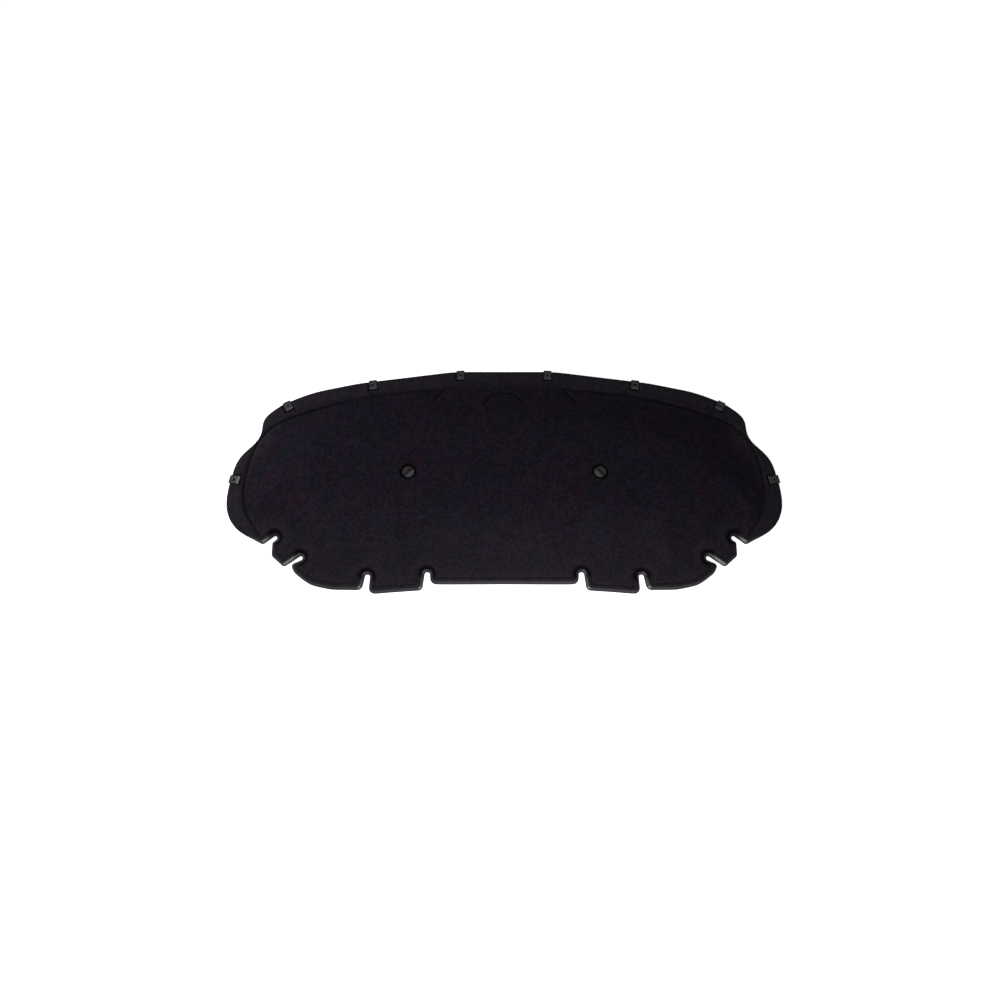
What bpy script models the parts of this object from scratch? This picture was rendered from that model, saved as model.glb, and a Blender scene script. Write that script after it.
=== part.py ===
"""Hood insulation pad: a moulded felt pad, eight edge clips and two push fasteners.

The pad lies as it rests, finished face up. +X runs along its width, +Y to its back edge, and
the origin is under the middle of its box. All lengths are metres.
"""
import math

import bmesh
import bpy
import numpy as np
from mathutils import Vector
from mathutils.geometry import delaunay_2d_cdt

# Overall size of the pad
PAD_WIDTH = 1.200
BACK_EDGE_Y = 0.2556
FRONT_EDGE_Y = -0.236
HALF_WIDTH = PAD_WIDTH / 2

# Gap kept between pieces that touch on the real object
GAP = 0.0003

# Section of the pad: a flat border that rises to a shallow tray
BODY_THICKNESS = 0.0145
HOLLOW_DEPTH = 0.0135
BORDER_HEIGHT = 0.0105
BORDER_WIDTH = 0.030
RISE_RUN = 0.120
BACK_LIP = 0.004
FRONT_LIP = 0.008
SHOULDER_WIDTH = 0.009
FRONT_LIP_STARTS_Y = -0.125
FRONT_LIP_RUN = 0.020
CUT_RIM_HEIGHT = 0.0036
CUT_RIM_RUN = 0.0048
CREASE_INSET = 0.0128
CREASE_WIDTH = 0.0036
CREASE_DEPTH = 0.0012
BODY_HEIGHT = BODY_THICKNESS + HOLLOW_DEPTH

# Slots cut in from the front edge: closed end (x, y) and the way out to the mouth, in degrees
SLOT_WIDTH = 0.0105
SLOT_ROUNDNESS = 0.98
SIDE_SLOT_END = (0.483, -0.1345)
SIDE_SLOT_WAY = -32
LOBE_SLOT_END = (0.425, -0.1785)
LOBE_SLOT_WAY = -27
TAB_SLOT_END = (0.2855, -0.2155)
TAB_SLOT_WAY = -78
MIDDLE_SLOT_END = (0.161, -0.2105)
MIDDLE_SLOT_WAY = -84

# Pressed land round the closed end of each slot
LAND_HEIGHT = 0.0062
LAND_WIDTH = 0.0045
LAND_WALL_RUN = 0.0075
LAND_FADE = 0.014

# Groove pinched along the border
GROOVE_FLOOR = 0.005
GROOVE_WIDTH = 0.008

# Shallow channels at the middle of the back
CHANNEL_DEPTH = 0.003
CHANNEL_WIDTH = 0.009
CHANNEL_FADE = 0.030

# Dimples for the fasteners
FASTENER_X = 0.2076
FASTENER_Y = 0.006
PRESSED_THICKNESS = 0.005
DIMPLE_FLOOR_RADIUS = 0.0155
DIMPLE_WALL_RUN = 0.0035

# Edge clips: a strip bent to a U round the lip
CLIP_WIDTH = 0.0175
CLIP_STRIP = 0.001
CLIP_REACH = 0.0205
CLIP_PROUD = 0.0042
CLIP_LIP_RISE = 0.0028
CLIP_LIP_LENGTH = 0.0085
CLIP_LIP_CURVE = 1.6
CLIP_WINDOW_WIDTH = 0.0070
CLIP_WINDOW_START = 0.0053
CLIP_WINDOW_LENGTH = 0.0052
GRIPPED_THICKNESS = 0.0036
SEAT_RUN = 0.003
SEAT_MARGIN = 0.0016

# Where each clip of the right half grips, to be moved to the nearest point of the edge
CLIP_PLACES = {
    "middle": (HALF_WIDTH / 6, BACK_EDGE_Y),
    "shoulder": (HALF_WIDTH / 2, BACK_EDGE_Y - 0.0250),
    "corner": (HALF_WIDTH - 0.108, BACK_EDGE_Y - 0.0790),
    "lobe": (HALF_WIDTH, -0.0045),
}

# Push fasteners: a flanged sleeve with split legs, and a slotted pin
BARREL_RADIUS = 0.005
BORE_RADIUS = 0.0031
FLANGE_RADIUS = 0.0124
FLANGE_THICKNESS = 0.0016
BARB_RADIUS = 0.0063
BARB_DROP = 0.0040
BARB_SLOPE = 0.0012
LEG_TIP_RADIUS = 0.0043
LEG_SPLIT = 0.0014
FLOOR_CLEARANCE = 0.0012
HEAD_RADIUS = 0.0135
HEAD_RIM = 0.0009
HEAD_CROWN = 0.0026
HEAD_SLOT_WIDTH = 0.0055
HEAD_SLOT_DEPTH = 0.0017
HEAD_SLOT_TURN = math.radians(45)
PIN_TIP = 0.0016
EDGE_BREAK = 0.0004
BARB_FLAT = 0.0007
SPLIT_ABOVE_BARB = 0.0015
TIP_SHARE = 0.6

# Finishes: colour, roughness and metallic
FELT = ((0.012, 0.010, 0.014), 0.95, 0)
COATED_STEEL = ((0.030, 0.030, 0.032), 0.35, 0.8)
SLEEVE_PLASTIC = ((0.020, 0.019, 0.019), 0.5, 0)
PIN_PLASTIC = ((0.055, 0.046, 0.047), 0.4, 0)

# Fineness of the facets
ARC_STEP = math.radians(18)
ARC_CHORD = 0.022
STRAIGHT_STEP = 0.034
TOP_SPACING = 0.028
BACK_SPACING = 0.045
ROUND_SIDES = 24
HOLE_SIDES = 16
LAND_TURN = 1.9
LAND_STEPS = 12
CROWN_STEPS = 5
BEND_STEPS = 6
LIP_STEPS = 3
CLIP_CHORD = 0.030
SAME_POINT = 0.00001
SHORTEST_EDGE = 0.0006
WELD = 0.0003
HALVES_WELD = 0.0001
OFFSET_SLACK = 0.97
ROW_PITCH = 0.87
EDGE_CLEARANCE = 0.45
CURVE_CLEARANCE = 0.40


def unit(vector):
    """The vector at a length of one."""
    return vector / np.linalg.norm(vector)


def turned_left(vector):
    """The vector turned a quarter turn to its left."""
    return np.array([-vector[1], vector[0]])


def rounded(corners):
    """A path along the corners (x, y, radius), each one turned by an arc of its radius."""
    place = [np.array(corner[:2], float) for corner in corners]
    runs = [np.linalg.norm(b - a) for a, b in zip(place, place[1:])]
    tangents = [0.0] * len(corners)
    for i in range(1, len(corners) - 1):
        back = unit(place[i - 1] - place[i])
        ahead = unit(place[i + 1] - place[i])
        half = math.acos(np.clip(back @ ahead, -1, 1)) / 2
        tangents[i] = corners[i][2] / math.tan(half)
    fits = [min(1, run / max(a + b, 1e-9)) for run, a, b in zip(runs, tangents, tangents[1:])]
    path = [place[0]]
    for i in range(1, len(corners) - 1):
        back = unit(place[i - 1] - place[i])
        ahead = unit(place[i + 1] - place[i])
        tangent = tangents[i] * min(fits[i - 1], fits[i])
        half = math.acos(np.clip(back @ ahead, -1, 1)) / 2
        radius = tangent * math.tan(half)
        centre = place[i] + unit(back + ahead) * radius / math.sin(half)
        start = place[i] + back * tangent - centre
        end = place[i] + ahead * tangent - centre
        turn = math.atan2(start[0] * end[1] - start[1] * end[0], start @ end)
        steps = max(2, math.ceil(abs(turn) / ARC_STEP), math.ceil(abs(turn) * radius / ARC_CHORD))
        for k in range(steps + 1):
            angle = turn * k / steps
            spoke = start * math.cos(angle) + turned_left(start) * math.sin(angle)
            path.append(centre + spoke)
    path.append(place[-1])
    return divided(merged(path), STRAIGHT_STEP)


def merged(path, nearest=SAME_POINT):
    """The path without points that lie too near the one before."""
    kept = [path[0]]
    for point in path[1:]:
        if np.linalg.norm(point - kept[-1]) > nearest:
            kept.append(point)
    return kept


def divided(path, longest):
    """The path with its long straight runs divided evenly."""
    result = [path[0]]
    for a, b in zip(path, path[1:]):
        pieces = max(1, math.ceil(np.linalg.norm(b - a) / longest))
        result += [a + (b - a) * k / pieces for k in range(1, pieces + 1)]
    return np.array(result)


def slot_frame(end, way):
    """Middle of a slot's round end, and the direction to its mouth."""
    out = np.array([math.cos(math.radians(way)), math.sin(math.radians(way))])
    return np.array(end) + out * SLOT_WIDTH / 2, out


def slot_corners(end, way):
    """The two corners whose arcs make the round end of a slot."""
    out = slot_frame(end, way)[1]
    side = turned_left(out) * SLOT_WIDTH / 2
    radius = SLOT_WIDTH / 2 * SLOT_ROUNDNESS
    return [(*(np.array(end) + side), radius), (*(np.array(end) - side), radius)]


SLOTS = [slot_frame(*slot) for slot in (
    (SIDE_SLOT_END, SIDE_SLOT_WAY), (LOBE_SLOT_END, LOBE_SLOT_WAY),
    (TAB_SLOT_END, TAB_SLOT_WAY), (MIDDLE_SLOT_END, MIDDLE_SLOT_WAY))]

# The right half's edge, from the middle of the back round the side to the middle of the front
EDGE = rounded([
    (0, BACK_EDGE_Y, 0),
    (0.1147, BACK_EDGE_Y, 0.350),
    (0.330, BACK_EDGE_Y - 0.0290, 0.500),
    (0.436, BACK_EDGE_Y - 0.0527, 0.300),
    (HALF_WIDTH - 0.0955, BACK_EDGE_Y - 0.0838, 0.120),
    (HALF_WIDTH - 0.0590, 0.1385, 0.042),
    (HALF_WIDTH - 0.0590, 0.0915, 0.056),
    (HALF_WIDTH - 0.0122, 0.0412, 0.084),
    (HALF_WIDTH + 0.001, -0.030, 0.260),
    (HALF_WIDTH - 0.0025, -0.108, 0.100),
    (0.512, -0.151, 0.006),
    *slot_corners(SIDE_SLOT_END, SIDE_SLOT_WAY),
    (0.4915, -0.147, 0.004),
    (0.4905, -0.176, 0.007),
    (0.463, -0.1995, 0.006),
    *slot_corners(LOBE_SLOT_END, LOBE_SLOT_WAY),
    (0.448, -0.195, 0.007),
    (0.4395, -0.2125, 0.025),
    (0.4055, -0.2375, 0.060),
    (0.360, -0.2475, 0.120),
    (0.2965, -0.248, 0.011),
    *slot_corners(TAB_SLOT_END, TAB_SLOT_WAY),
    (0.2815, -0.2565, 0.011),
    (0.171, -0.2485, 0.0085),
    *slot_corners(MIDDLE_SLOT_END, MIDDLE_SLOT_WAY),
    (0.154, FRONT_EDGE_Y, 0.012),
    (0, FRONT_EDGE_Y, 0),
])

# The groove, from its end near the middle of the back to its end at the side slot
GROOVE = rounded([
    (0.143, BACK_EDGE_Y - 0.0466, 0),
    (0.320, BACK_EDGE_Y - 0.0636, 0.900),
    (HALF_WIDTH - 0.100, 0.133, 0.200),
    (HALF_WIDTH - 0.051, 0.080, 0.100),
    (HALF_WIDTH - 0.034, -0.025, 0.200),
    (HALF_WIDTH - 0.041, -0.072, 0.080),
    (0.519, -0.130, 0),
])

# The channels: a flat-topped V astride the middle, and one branch from each groove's end
MIDDLE_CHANNEL = rounded([
    (0, BACK_EDGE_Y - 0.0580, 0),
    (0.0245, BACK_EDGE_Y - 0.0580, 0.006),
    (0.0510, BACK_EDGE_Y - 0.0980, 0),
])
BRANCH_CHANNEL = rounded([(0.134, BACK_EDGE_Y - 0.0456, 0), (0.168, BACK_EDGE_Y - 0.0892, 0)])


def smooth(t):
    """An eased step from 0 to 1."""
    t = np.clip(t, 0, 1)
    return t * t * (3 - 2 * t)


def distance(points, path):
    """How far each point is from a path of straight pieces."""
    start = path[:-1]
    run = path[1:] - start
    offset = points[:, None] - start
    along = np.clip((offset * run).sum(2) / (run * run).sum(1), 0, 1)
    return np.linalg.norm(offset - run * along[..., None], axis=2).min(1)


def edge_frame(place):
    """The edge's nearest point to a place, with its direction along and its direction out."""
    place = np.array(place)
    start = EDGE[:-1]
    run = EDGE[1:] - start
    along = np.clip(((place - start) * run).sum(1) / (run * run).sum(1), 0, 1)
    feet = start + run * along[:, None]
    nearest = int(np.argmin(np.linalg.norm(feet - place, axis=1)))
    foot = feet[nearest]
    near = EDGE[np.linalg.norm(EDGE - foot, axis=1) < CLIP_CHORD]
    direction = unit(near[-1] - near[0]) if len(near) > 1 else unit(run[nearest])
    return foot, direction, turned_left(direction)


CLIPS = {name: edge_frame(place) for name, place in CLIP_PLACES.items()}
SEAT_HALF = CLIP_WIDTH / 2 + SEAT_MARGIN
SEAT_DEPTH = CLIP_REACH + GAP + SEAT_MARGIN


def seat_press(points):
    """How fully each point is pressed for a clip, from 0 to 1."""
    press = np.zeros(len(points))
    for foot, along, out in CLIPS.values():
        offset = points - foot
        beside = np.abs(offset @ along) - SEAT_HALF
        inward = -(offset @ out) - SEAT_DEPTH
        press = np.maximum(press, smooth(1 - np.maximum(beside, inward) / SEAT_RUN))
    return press


CLIP_BACK_Z = GAP
SEAT_BACK_Z = CLIP_BACK_Z + CLIP_STRIP + GAP
SEAT_TOP_Z = SEAT_BACK_Z + GRIPPED_THICKNESS
DIMPLE_FLOOR_Z = HOLLOW_DEPTH + PRESSED_THICKNESS


def slot_press(points):
    """How fully each point is pressed down to the land of a slot, from 0 to 1."""
    press = np.zeros(len(points))
    for centre, out in SLOTS:
        offset = points - centre
        beyond = np.linalg.norm(offset, axis=1) - SLOT_WIDTH / 2 - LAND_WIDTH
        fade = 1 - smooth(offset @ out / LAND_FADE)
        press = np.maximum(press, fade * (1 - smooth(beyond / LAND_WALL_RUN)))
    return press


def channel_press(points, path):
    """How deep a channel is at each point, from 0 to 1, easing out at its far end."""
    across = np.clip(1 - distance(points, path) / (CHANNEL_WIDTH / 2), 0, 1)
    return across * smooth(np.linalg.norm(points - path[-1], axis=1) / CHANNEL_FADE)


def top_height(points):
    """Height of the finished face."""
    inset = distance(points, EDGE)
    front = smooth((FRONT_LIP_STARTS_Y - points[:, 1]) / FRONT_LIP_RUN)
    lip = BACK_LIP + (FRONT_LIP - BACK_LIP) * front
    bulge = np.sqrt(1 - (1 - np.clip(inset / SHOULDER_WIDTH, 0, 1)) ** 2)
    height = lip + (BORDER_HEIGHT - lip) * bulge
    height += (BODY_HEIGHT - BORDER_HEIGHT) * smooth((inset - BORDER_WIDTH) / RISE_RUN)
    pinch = np.clip(1 - distance(points, GROOVE) / (GROOVE_WIDTH / 2), 0, 1)
    height += (np.minimum(height, GROOVE_FLOOR) - height) * pinch
    land = slot_press(points)
    height += (np.minimum(height, LAND_HEIGHT) - height) * land
    crease = np.clip(1 - np.abs(inset - CREASE_INSET) / (CREASE_WIDTH / 2), 0, 1)
    height -= CREASE_DEPTH * crease * front * (1 - land)
    cut = front * (1 - np.clip(inset / CUT_RIM_RUN, 0, 1))
    height += (np.minimum(height, CUT_RIM_HEIGHT) - height) * cut
    for path in (MIDDLE_CHANNEL, BRANCH_CHANNEL):
        height -= CHANNEL_DEPTH * channel_press(points, path)
    from_pin = np.linalg.norm(points - (FASTENER_X, FASTENER_Y), axis=1)
    dimple = 1 - np.clip((from_pin - DIMPLE_FLOOR_RADIUS) / DIMPLE_WALL_RUN, 0, 1)
    height += (DIMPLE_FLOOR_Z - height) * dimple
    return height + (SEAT_TOP_Z - height) * seat_press(points)


def back_height(points):
    """Height of the back face, which is flat round the border and hollow in the middle."""
    inset = distance(points, EDGE)
    height = HOLLOW_DEPTH * smooth((inset - BORDER_WIDTH) / RISE_RUN)
    return height + (SEAT_BACK_Z - height) * seat_press(points)


def with_points(path, extra):
    """The path with more points set into the pieces that they lie on."""
    path = list(path)
    for point in extra:
        gaps = [np.linalg.norm(a - point) + np.linalg.norm(point - b) - np.linalg.norm(b - a)
                for a, b in zip(path, path[1:])]
        path.insert(int(np.argmin(gaps)) + 1, point)
    return np.array(path)


def seat_ends():
    """Points of the edge where the clips' seats begin and end."""
    ends = []
    for foot, along, _ in CLIPS.values():
        for side in (-1, 1):
            for reach in (SEAT_HALF, SEAT_HALF + SEAT_RUN):
                ends.append(edge_frame(foot + along * side * reach)[0])
    return ends


def runs_of(path, good):
    """The unbroken runs of the path's good points, without very short pieces."""
    runs = [[]]
    for point, keep in zip(path, good):
        if keep:
            runs[-1].append(point)
        elif runs[-1]:
            runs.append([])
    runs = [merged(run, SHORTEST_EDGE) for run in runs if run]
    return [np.array(run) for run in runs if len(run) > 1]


def offset_path(path, inset):
    """The path moved to its right by the inset, without the parts that come too near it."""
    ahead = np.gradient(path, axis=0)
    normal = np.stack([ahead[:, 1], -ahead[:, 0]], 1)
    normal /= np.linalg.norm(normal, axis=1)[:, None]
    moved = path + normal * inset
    good = distance(moved, path) > abs(inset) * OFFSET_SLACK
    return runs_of(moved, good & (moved[:, 0] > -SAME_POINT))


def ring(centre, radius, sides=ROUND_SIDES):
    """A closed circle of points, the first one repeated at the end."""
    turns = np.linspace(0, 2 * math.pi, sides + 1)
    return np.array(centre) + radius * np.stack([np.cos(turns), np.sin(turns)], 1)


def slot_arcs():
    """Curves that outline the pressed land and its wall at each slot."""
    curves = []
    for centre, out in SLOTS:
        back = math.atan2(-out[1], -out[0])
        for reach in (LAND_WIDTH, LAND_WIDTH + LAND_WALL_RUN / 2, LAND_WIDTH + LAND_WALL_RUN):
            turns = back + np.linspace(-LAND_TURN, LAND_TURN, LAND_STEPS)
            radius = SLOT_WIDTH / 2 + reach
            curves.append(centre + radius * np.stack([np.cos(turns), np.sin(turns)], 1))
    return curves


def seat_frames():
    """Curves round each clip's seat, from edge to edge."""
    curves = []
    for foot, along, out in CLIPS.values():
        for extra in (0, SEAT_RUN):
            half = SEAT_HALF + extra
            depth = SEAT_DEPTH + extra
            corners = [(-half, 0), (-half, depth), (0, depth), (half, depth), (half, 0)]
            curve = [foot + along * s - out * u for s, u in corners]
            curve[0] = edge_frame(curve[0])[0]
            curve[-1] = edge_frame(curve[-1])[0]
            curves.append(np.array(curve))
    return curves


def inside(points, loop):
    """Whether each point is inside a closed loop."""
    result = np.zeros(len(points), bool)
    for a, b in zip(loop, np.roll(loop, -1, axis=0)):
        crosses = (a[1] > points[:, 1]) != (b[1] > points[:, 1])
        slope = (b[0] - a[0]) / (b[1] - a[1] if b[1] != a[1] else 1e-12)
        result ^= crosses & (points[:, 0] < a[0] + slope * (points[:, 1] - a[1]))
    return result


def grid(loop, curves, spacing):
    """Staggered points that fill the loop, clear of it and of the curves in it."""
    rows = np.arange(FRONT_EDGE_Y - spacing, BACK_EDGE_Y + spacing, spacing * ROW_PITCH)
    points = np.array([(x + spacing / 2 * (k % 2), y) for k, y in enumerate(rows)
                       for x in np.arange(spacing / 2, HALF_WIDTH + spacing, spacing)])
    points = points[inside(points, loop)]
    closed = np.vstack([loop, loop[:1]])
    clear = distance(points, closed) > spacing * EDGE_CLEARANCE
    for curve in curves:
        clear &= distance(points, curve) > spacing * CURVE_CLEARANCE
    return points[clear]


def as_stored(points):
    """The points rounded to the 32 bits that a mesh keeps."""
    return np.array(points, np.float32).astype(float)


def face_sheet(edge, hole, curves, spacing):
    """Triangles that fill the half pad, and the places of the edge's and the hole's points."""
    middle = divided([edge[-1], edge[0]], spacing)[1:-1]
    loop = as_stored(np.vstack([edge, middle]))
    points = [*loop, *hole[:-1]]
    count = len(loop)
    links = [(i, (i + 1) % count) for i in range(count)]
    links += [(count + i, count + (i + 1) % (len(hole) - 1)) for i in range(len(hole) - 1)]
    for curve in curves:
        first = len(points)
        points += list(curve)
        links += [(first + i, first + i + 1) for i in range(len(curve) - 1)]
    points += list(grid(loop, [*curves, hole], spacing))
    flat = [Vector((float(x), float(y))) for x, y in points]
    made, _, triangles, origins, _, _ = delaunay_2d_cdt(flat, links, [], 0, 1e-6, True)
    made = np.array([tuple(p) for p in made])
    place = {source: i for i, sources in enumerate(origins) for source in sources}
    for source in range(count + len(hole) - 1):
        made[place[source]] = points[source]
    centres = np.array([made[list(t)].mean(0) for t in triangles])
    filled = inside(centres, loop) & ~inside(centres, hole[:-1])
    triangles = [t for t, keep in zip(triangles, filled) if keep]
    rim = [place[i] for i in range(len(edge))]
    bore = [place[count + i] for i in range(len(hole) - 1)]
    return made, triangles, rim, bore


def kept_inside(curve, loop):
    """The parts of a curve that stay inside the half pad, ends on its edge included."""
    closed = np.vstack([loop, loop[:1]])
    near = distance(curve, closed)
    good = inside(curve, loop) & (near > SHORTEST_EDGE)
    return runs_of(curve, good | (near < SAME_POINT))


def face_curves(edge, hole_centre):
    """Curves that the facets of the finished face and of the back keep to."""
    top = [curve for inset in (CUT_RIM_RUN, SHOULDER_WIDTH) for curve in offset_path(edge, inset)]
    for side in (-1, 0, 1):
        inset = CREASE_INSET + side * CREASE_WIDTH / 2
        top += [part for curve in offset_path(edge, inset)
                for part in runs_of(curve, curve[:, 1] < FRONT_LIP_STARTS_Y)]
    for path, width in ((GROOVE, GROOVE_WIDTH), (MIDDLE_CHANNEL, CHANNEL_WIDTH),
                        (BRANCH_CHANNEL, CHANNEL_WIDTH)):
        top += [path, *offset_path(path, width / 2), *offset_path(path, -width / 2)]
    top += offset_path(GROOVE, 2 * GROOVE_WIDTH) + slot_arcs() + seat_frames()
    top += [ring(hole_centre, DIMPLE_FLOOR_RADIUS),
            ring(hole_centre, DIMPLE_FLOOR_RADIUS + DIMPLE_WALL_RUN)]
    back = offset_path(edge, BORDER_WIDTH) + seat_frames()
    return [[part for curve in curves for part in kept_inside(curve, edge)]
            for curves in (top, back)]


def pad_mesh():
    """The right half of the pad, open along the middle."""
    edge = with_points(EDGE, seat_ends())
    edge[[0, -1], 0] = 0
    pin = (FASTENER_X, FASTENER_Y)
    hole = ring(pin, BARREL_RADIUS + 2 * GAP, HOLE_SIDES)
    top_curves, back_curves = face_curves(edge, pin)
    top, top_faces, top_rim, top_bore = face_sheet(edge, hole, top_curves, TOP_SPACING)
    back, back_faces, back_rim, back_bore = face_sheet(edge, hole, back_curves, BACK_SPACING)
    vertices = [(*p, z) for p, z in zip(top, top_height(top))]
    vertices += [(*p, z) for p, z in zip(back, back_height(back))]
    shift = len(top)
    faces = [tuple(t) for t in top_faces]
    faces += [tuple(shift + i for i in reversed(t)) for t in back_faces]
    for above, below in ((top_rim, back_rim), (top_bore + top_bore[:1], back_bore + back_bore[:1])):
        for a, b, c, d in zip(above, above[1:], below, below[1:]):
            faces.append((a, b, shift + d, shift + c))
    mesh = bpy.data.meshes.new("insulation_pad")
    mesh.from_pydata(vertices, [], faces)
    welded = bmesh.new()
    welded.from_mesh(mesh)
    bmesh.ops.remove_doubles(welded, verts=welded.verts, dist=WELD)
    welded.to_mesh(mesh)
    welded.free()
    return mesh


def material(name, colour, roughness, metallic):
    """A plain surface finish."""
    made = bpy.data.materials.new(name)
    made.use_nodes = True
    shader = made.node_tree.nodes["Principled BSDF"]
    shader.inputs["Base Color"].default_value = (*colour, 1)
    shader.inputs["Roughness"].default_value = roughness
    shader.inputs["Metallic"].default_value = metallic
    made.diffuse_color = (*colour, 1)
    return made


def place_piece(name, mesh, finish, parent):
    """One named piece of the object."""
    piece = bpy.data.objects.new(name, mesh)
    if not mesh.materials:
        mesh.materials.append(finish)
    bpy.context.scene.collection.objects.link(piece)
    piece.parent = parent
    return piece


def clip_line():
    """The middle line of a clip's strip, as distance in from the edge and height."""
    low = CLIP_BACK_Z + CLIP_STRIP / 2
    high = SEAT_TOP_Z + GAP + CLIP_STRIP / 2
    bend = (high - low) / 2
    middle = bend + CLIP_STRIP / 2 - CLIP_PROUD
    line = [(CLIP_REACH, low), (CLIP_REACH * 0.5, low)]
    for k in range(BEND_STEPS + 1):
        turn = math.pi * k / BEND_STEPS
        line.append((middle - bend * math.sin(turn), low + bend * (1 - math.cos(turn))))
    line.append((CLIP_WINDOW_START, high))
    line.append((CLIP_WINDOW_START + CLIP_WINDOW_LENGTH, high))
    lip = CLIP_REACH - CLIP_LIP_LENGTH
    for k in range(LIP_STEPS + 1):
        part = k / LIP_STEPS
        line.append((lip + CLIP_LIP_LENGTH * part, high + CLIP_LIP_RISE * part ** CLIP_LIP_CURVE))
    return np.array(line)


def clip_mesh(name, foot, along, out):
    """A U-shaped spring clip with a window in its front leg."""
    line = clip_line()
    ahead = np.gradient(line, axis=0)
    normal = np.stack([-ahead[:, 1], ahead[:, 0]], 1)
    normal *= CLIP_STRIP / 2 / np.linalg.norm(normal, axis=1)[:, None]
    across = np.array([-CLIP_WIDTH, -CLIP_WINDOW_WIDTH, CLIP_WINDOW_WIDTH, CLIP_WIDTH]) / 2
    vertices = []
    for side in (line + normal, line - normal):
        for u, z in side:
            for s in across:
                x, y = foot + along * s - out * u
                vertices.append((x, y, z))
    rows = len(line)
    columns = len(across)
    window_row = next(i for i in range(rows) if abs(line[i, 0] - CLIP_WINDOW_START) < 1e-9
                      and line[i, 1] > SEAT_TOP_Z)
    solid = {(i, j) for i in range(rows - 1) for j in range(columns - 1)
             if (i, j) != (window_row, 1)}

    def corner(i, j, layer):
        return (layer * rows + i) * columns + j

    faces = []
    for i, j in sorted(solid):
        loop = [(i, j), (i + 1, j), (i + 1, j + 1), (i, j + 1)]
        faces.append([corner(*point, 0) for point in loop])
        faces.append([corner(*point, 1) for point in reversed(loop)])
        beyond = [(i, j - 1), (i + 1, j), (i, j + 1), (i - 1, j)]
        for k, cell in enumerate(beyond):
            if cell not in solid:
                a, b = loop[k], loop[(k + 1) % 4]
                faces.append([corner(*a, 1), corner(*b, 1), corner(*b, 0), corner(*a, 0)])
    mesh = bpy.data.meshes.new(name)
    mesh.from_pydata(vertices, [], faces)
    return mesh


def turned_mesh(name, profile):
    """A solid turned about the Z axis from a closed profile of (radius, height)."""
    vertices = []
    rows = []
    for radius, height in profile:
        if radius == 0:
            rows.append([len(vertices)] * ROUND_SIDES)
            vertices.append((0, 0, height))
            continue
        rows.append(list(range(len(vertices), len(vertices) + ROUND_SIDES)))
        for k in range(ROUND_SIDES):
            turn = 2 * math.pi * k / ROUND_SIDES
            vertices.append((radius * math.cos(turn), radius * math.sin(turn), height))
    faces = []
    for lower, upper in zip(rows, rows[1:] + rows[:1]):
        if lower[0] == lower[1] and upper[0] == upper[1]:
            continue
        for k in range(ROUND_SIDES):
            n = (k + 1) % ROUND_SIDES
            face = [lower[k], lower[n], upper[n], upper[k]]
            faces.append(list(dict.fromkeys(face)))
    mesh = bpy.data.meshes.new(name)
    mesh.from_pydata(vertices, [], faces)
    mesh.shade_smooth()
    mesh.set_sharp_from_angle(angle=math.radians(35))
    return mesh


def box_cutter(name, size, centre, turn, parent):
    """A hidden box that cuts another piece."""
    half = [length / 2 for length in size]
    corners = [(x, y, z) for x in (-half[0], half[0]) for y in (-half[1], half[1])
               for z in (-half[2], half[2])]
    faces = [(0, 1, 3, 2), (4, 6, 7, 5), (0, 4, 5, 1), (2, 3, 7, 6), (0, 2, 6, 4), (1, 5, 7, 3)]
    mesh = bpy.data.meshes.new(name)
    mesh.from_pydata(corners, [], faces)
    cutter = bpy.data.objects.new(name, mesh)
    bpy.context.scene.collection.objects.link(cutter)
    cutter.parent = parent
    cutter.location = centre
    cutter.rotation_euler.z = turn
    cutter.hide_render = True
    cutter.display_type = "WIRE"
    return cutter


def cut(piece, cutter):
    """Take the cutter's shape out of the piece."""
    boolean = piece.modifiers.new(cutter.name, "BOOLEAN")
    boolean.operation = "DIFFERENCE"
    boolean.solver = "EXACT"
    boolean.object = cutter


FLANGE_BACK_Z = DIMPLE_FLOOR_Z + GAP
FLANGE_TOP_Z = FLANGE_BACK_Z + FLANGE_THICKNESS
BARB_TOP_Z = HOLLOW_DEPTH - BARB_DROP
HEAD_BACK_Z = FLANGE_TOP_Z + GAP


def sleeve_profile():
    """Section of the sleeve, round from the top of its bore."""
    return [
        (BORE_RADIUS, FLANGE_TOP_Z),
        (BORE_RADIUS, FLOOR_CLEARANCE),
        (LEG_TIP_RADIUS, FLOOR_CLEARANCE),
        (BARB_RADIUS, BARB_TOP_Z - BARB_SLOPE - BARB_FLAT),
        (BARB_RADIUS, BARB_TOP_Z - BARB_SLOPE),
        (BARREL_RADIUS, BARB_TOP_Z),
        (BARREL_RADIUS, FLANGE_BACK_Z),
        (FLANGE_RADIUS - EDGE_BREAK, FLANGE_BACK_Z),
        (FLANGE_RADIUS, FLANGE_BACK_Z + EDGE_BREAK),
        (FLANGE_RADIUS, FLANGE_TOP_Z - EDGE_BREAK),
        (FLANGE_RADIUS - EDGE_BREAK, FLANGE_TOP_Z),
    ]


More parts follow.
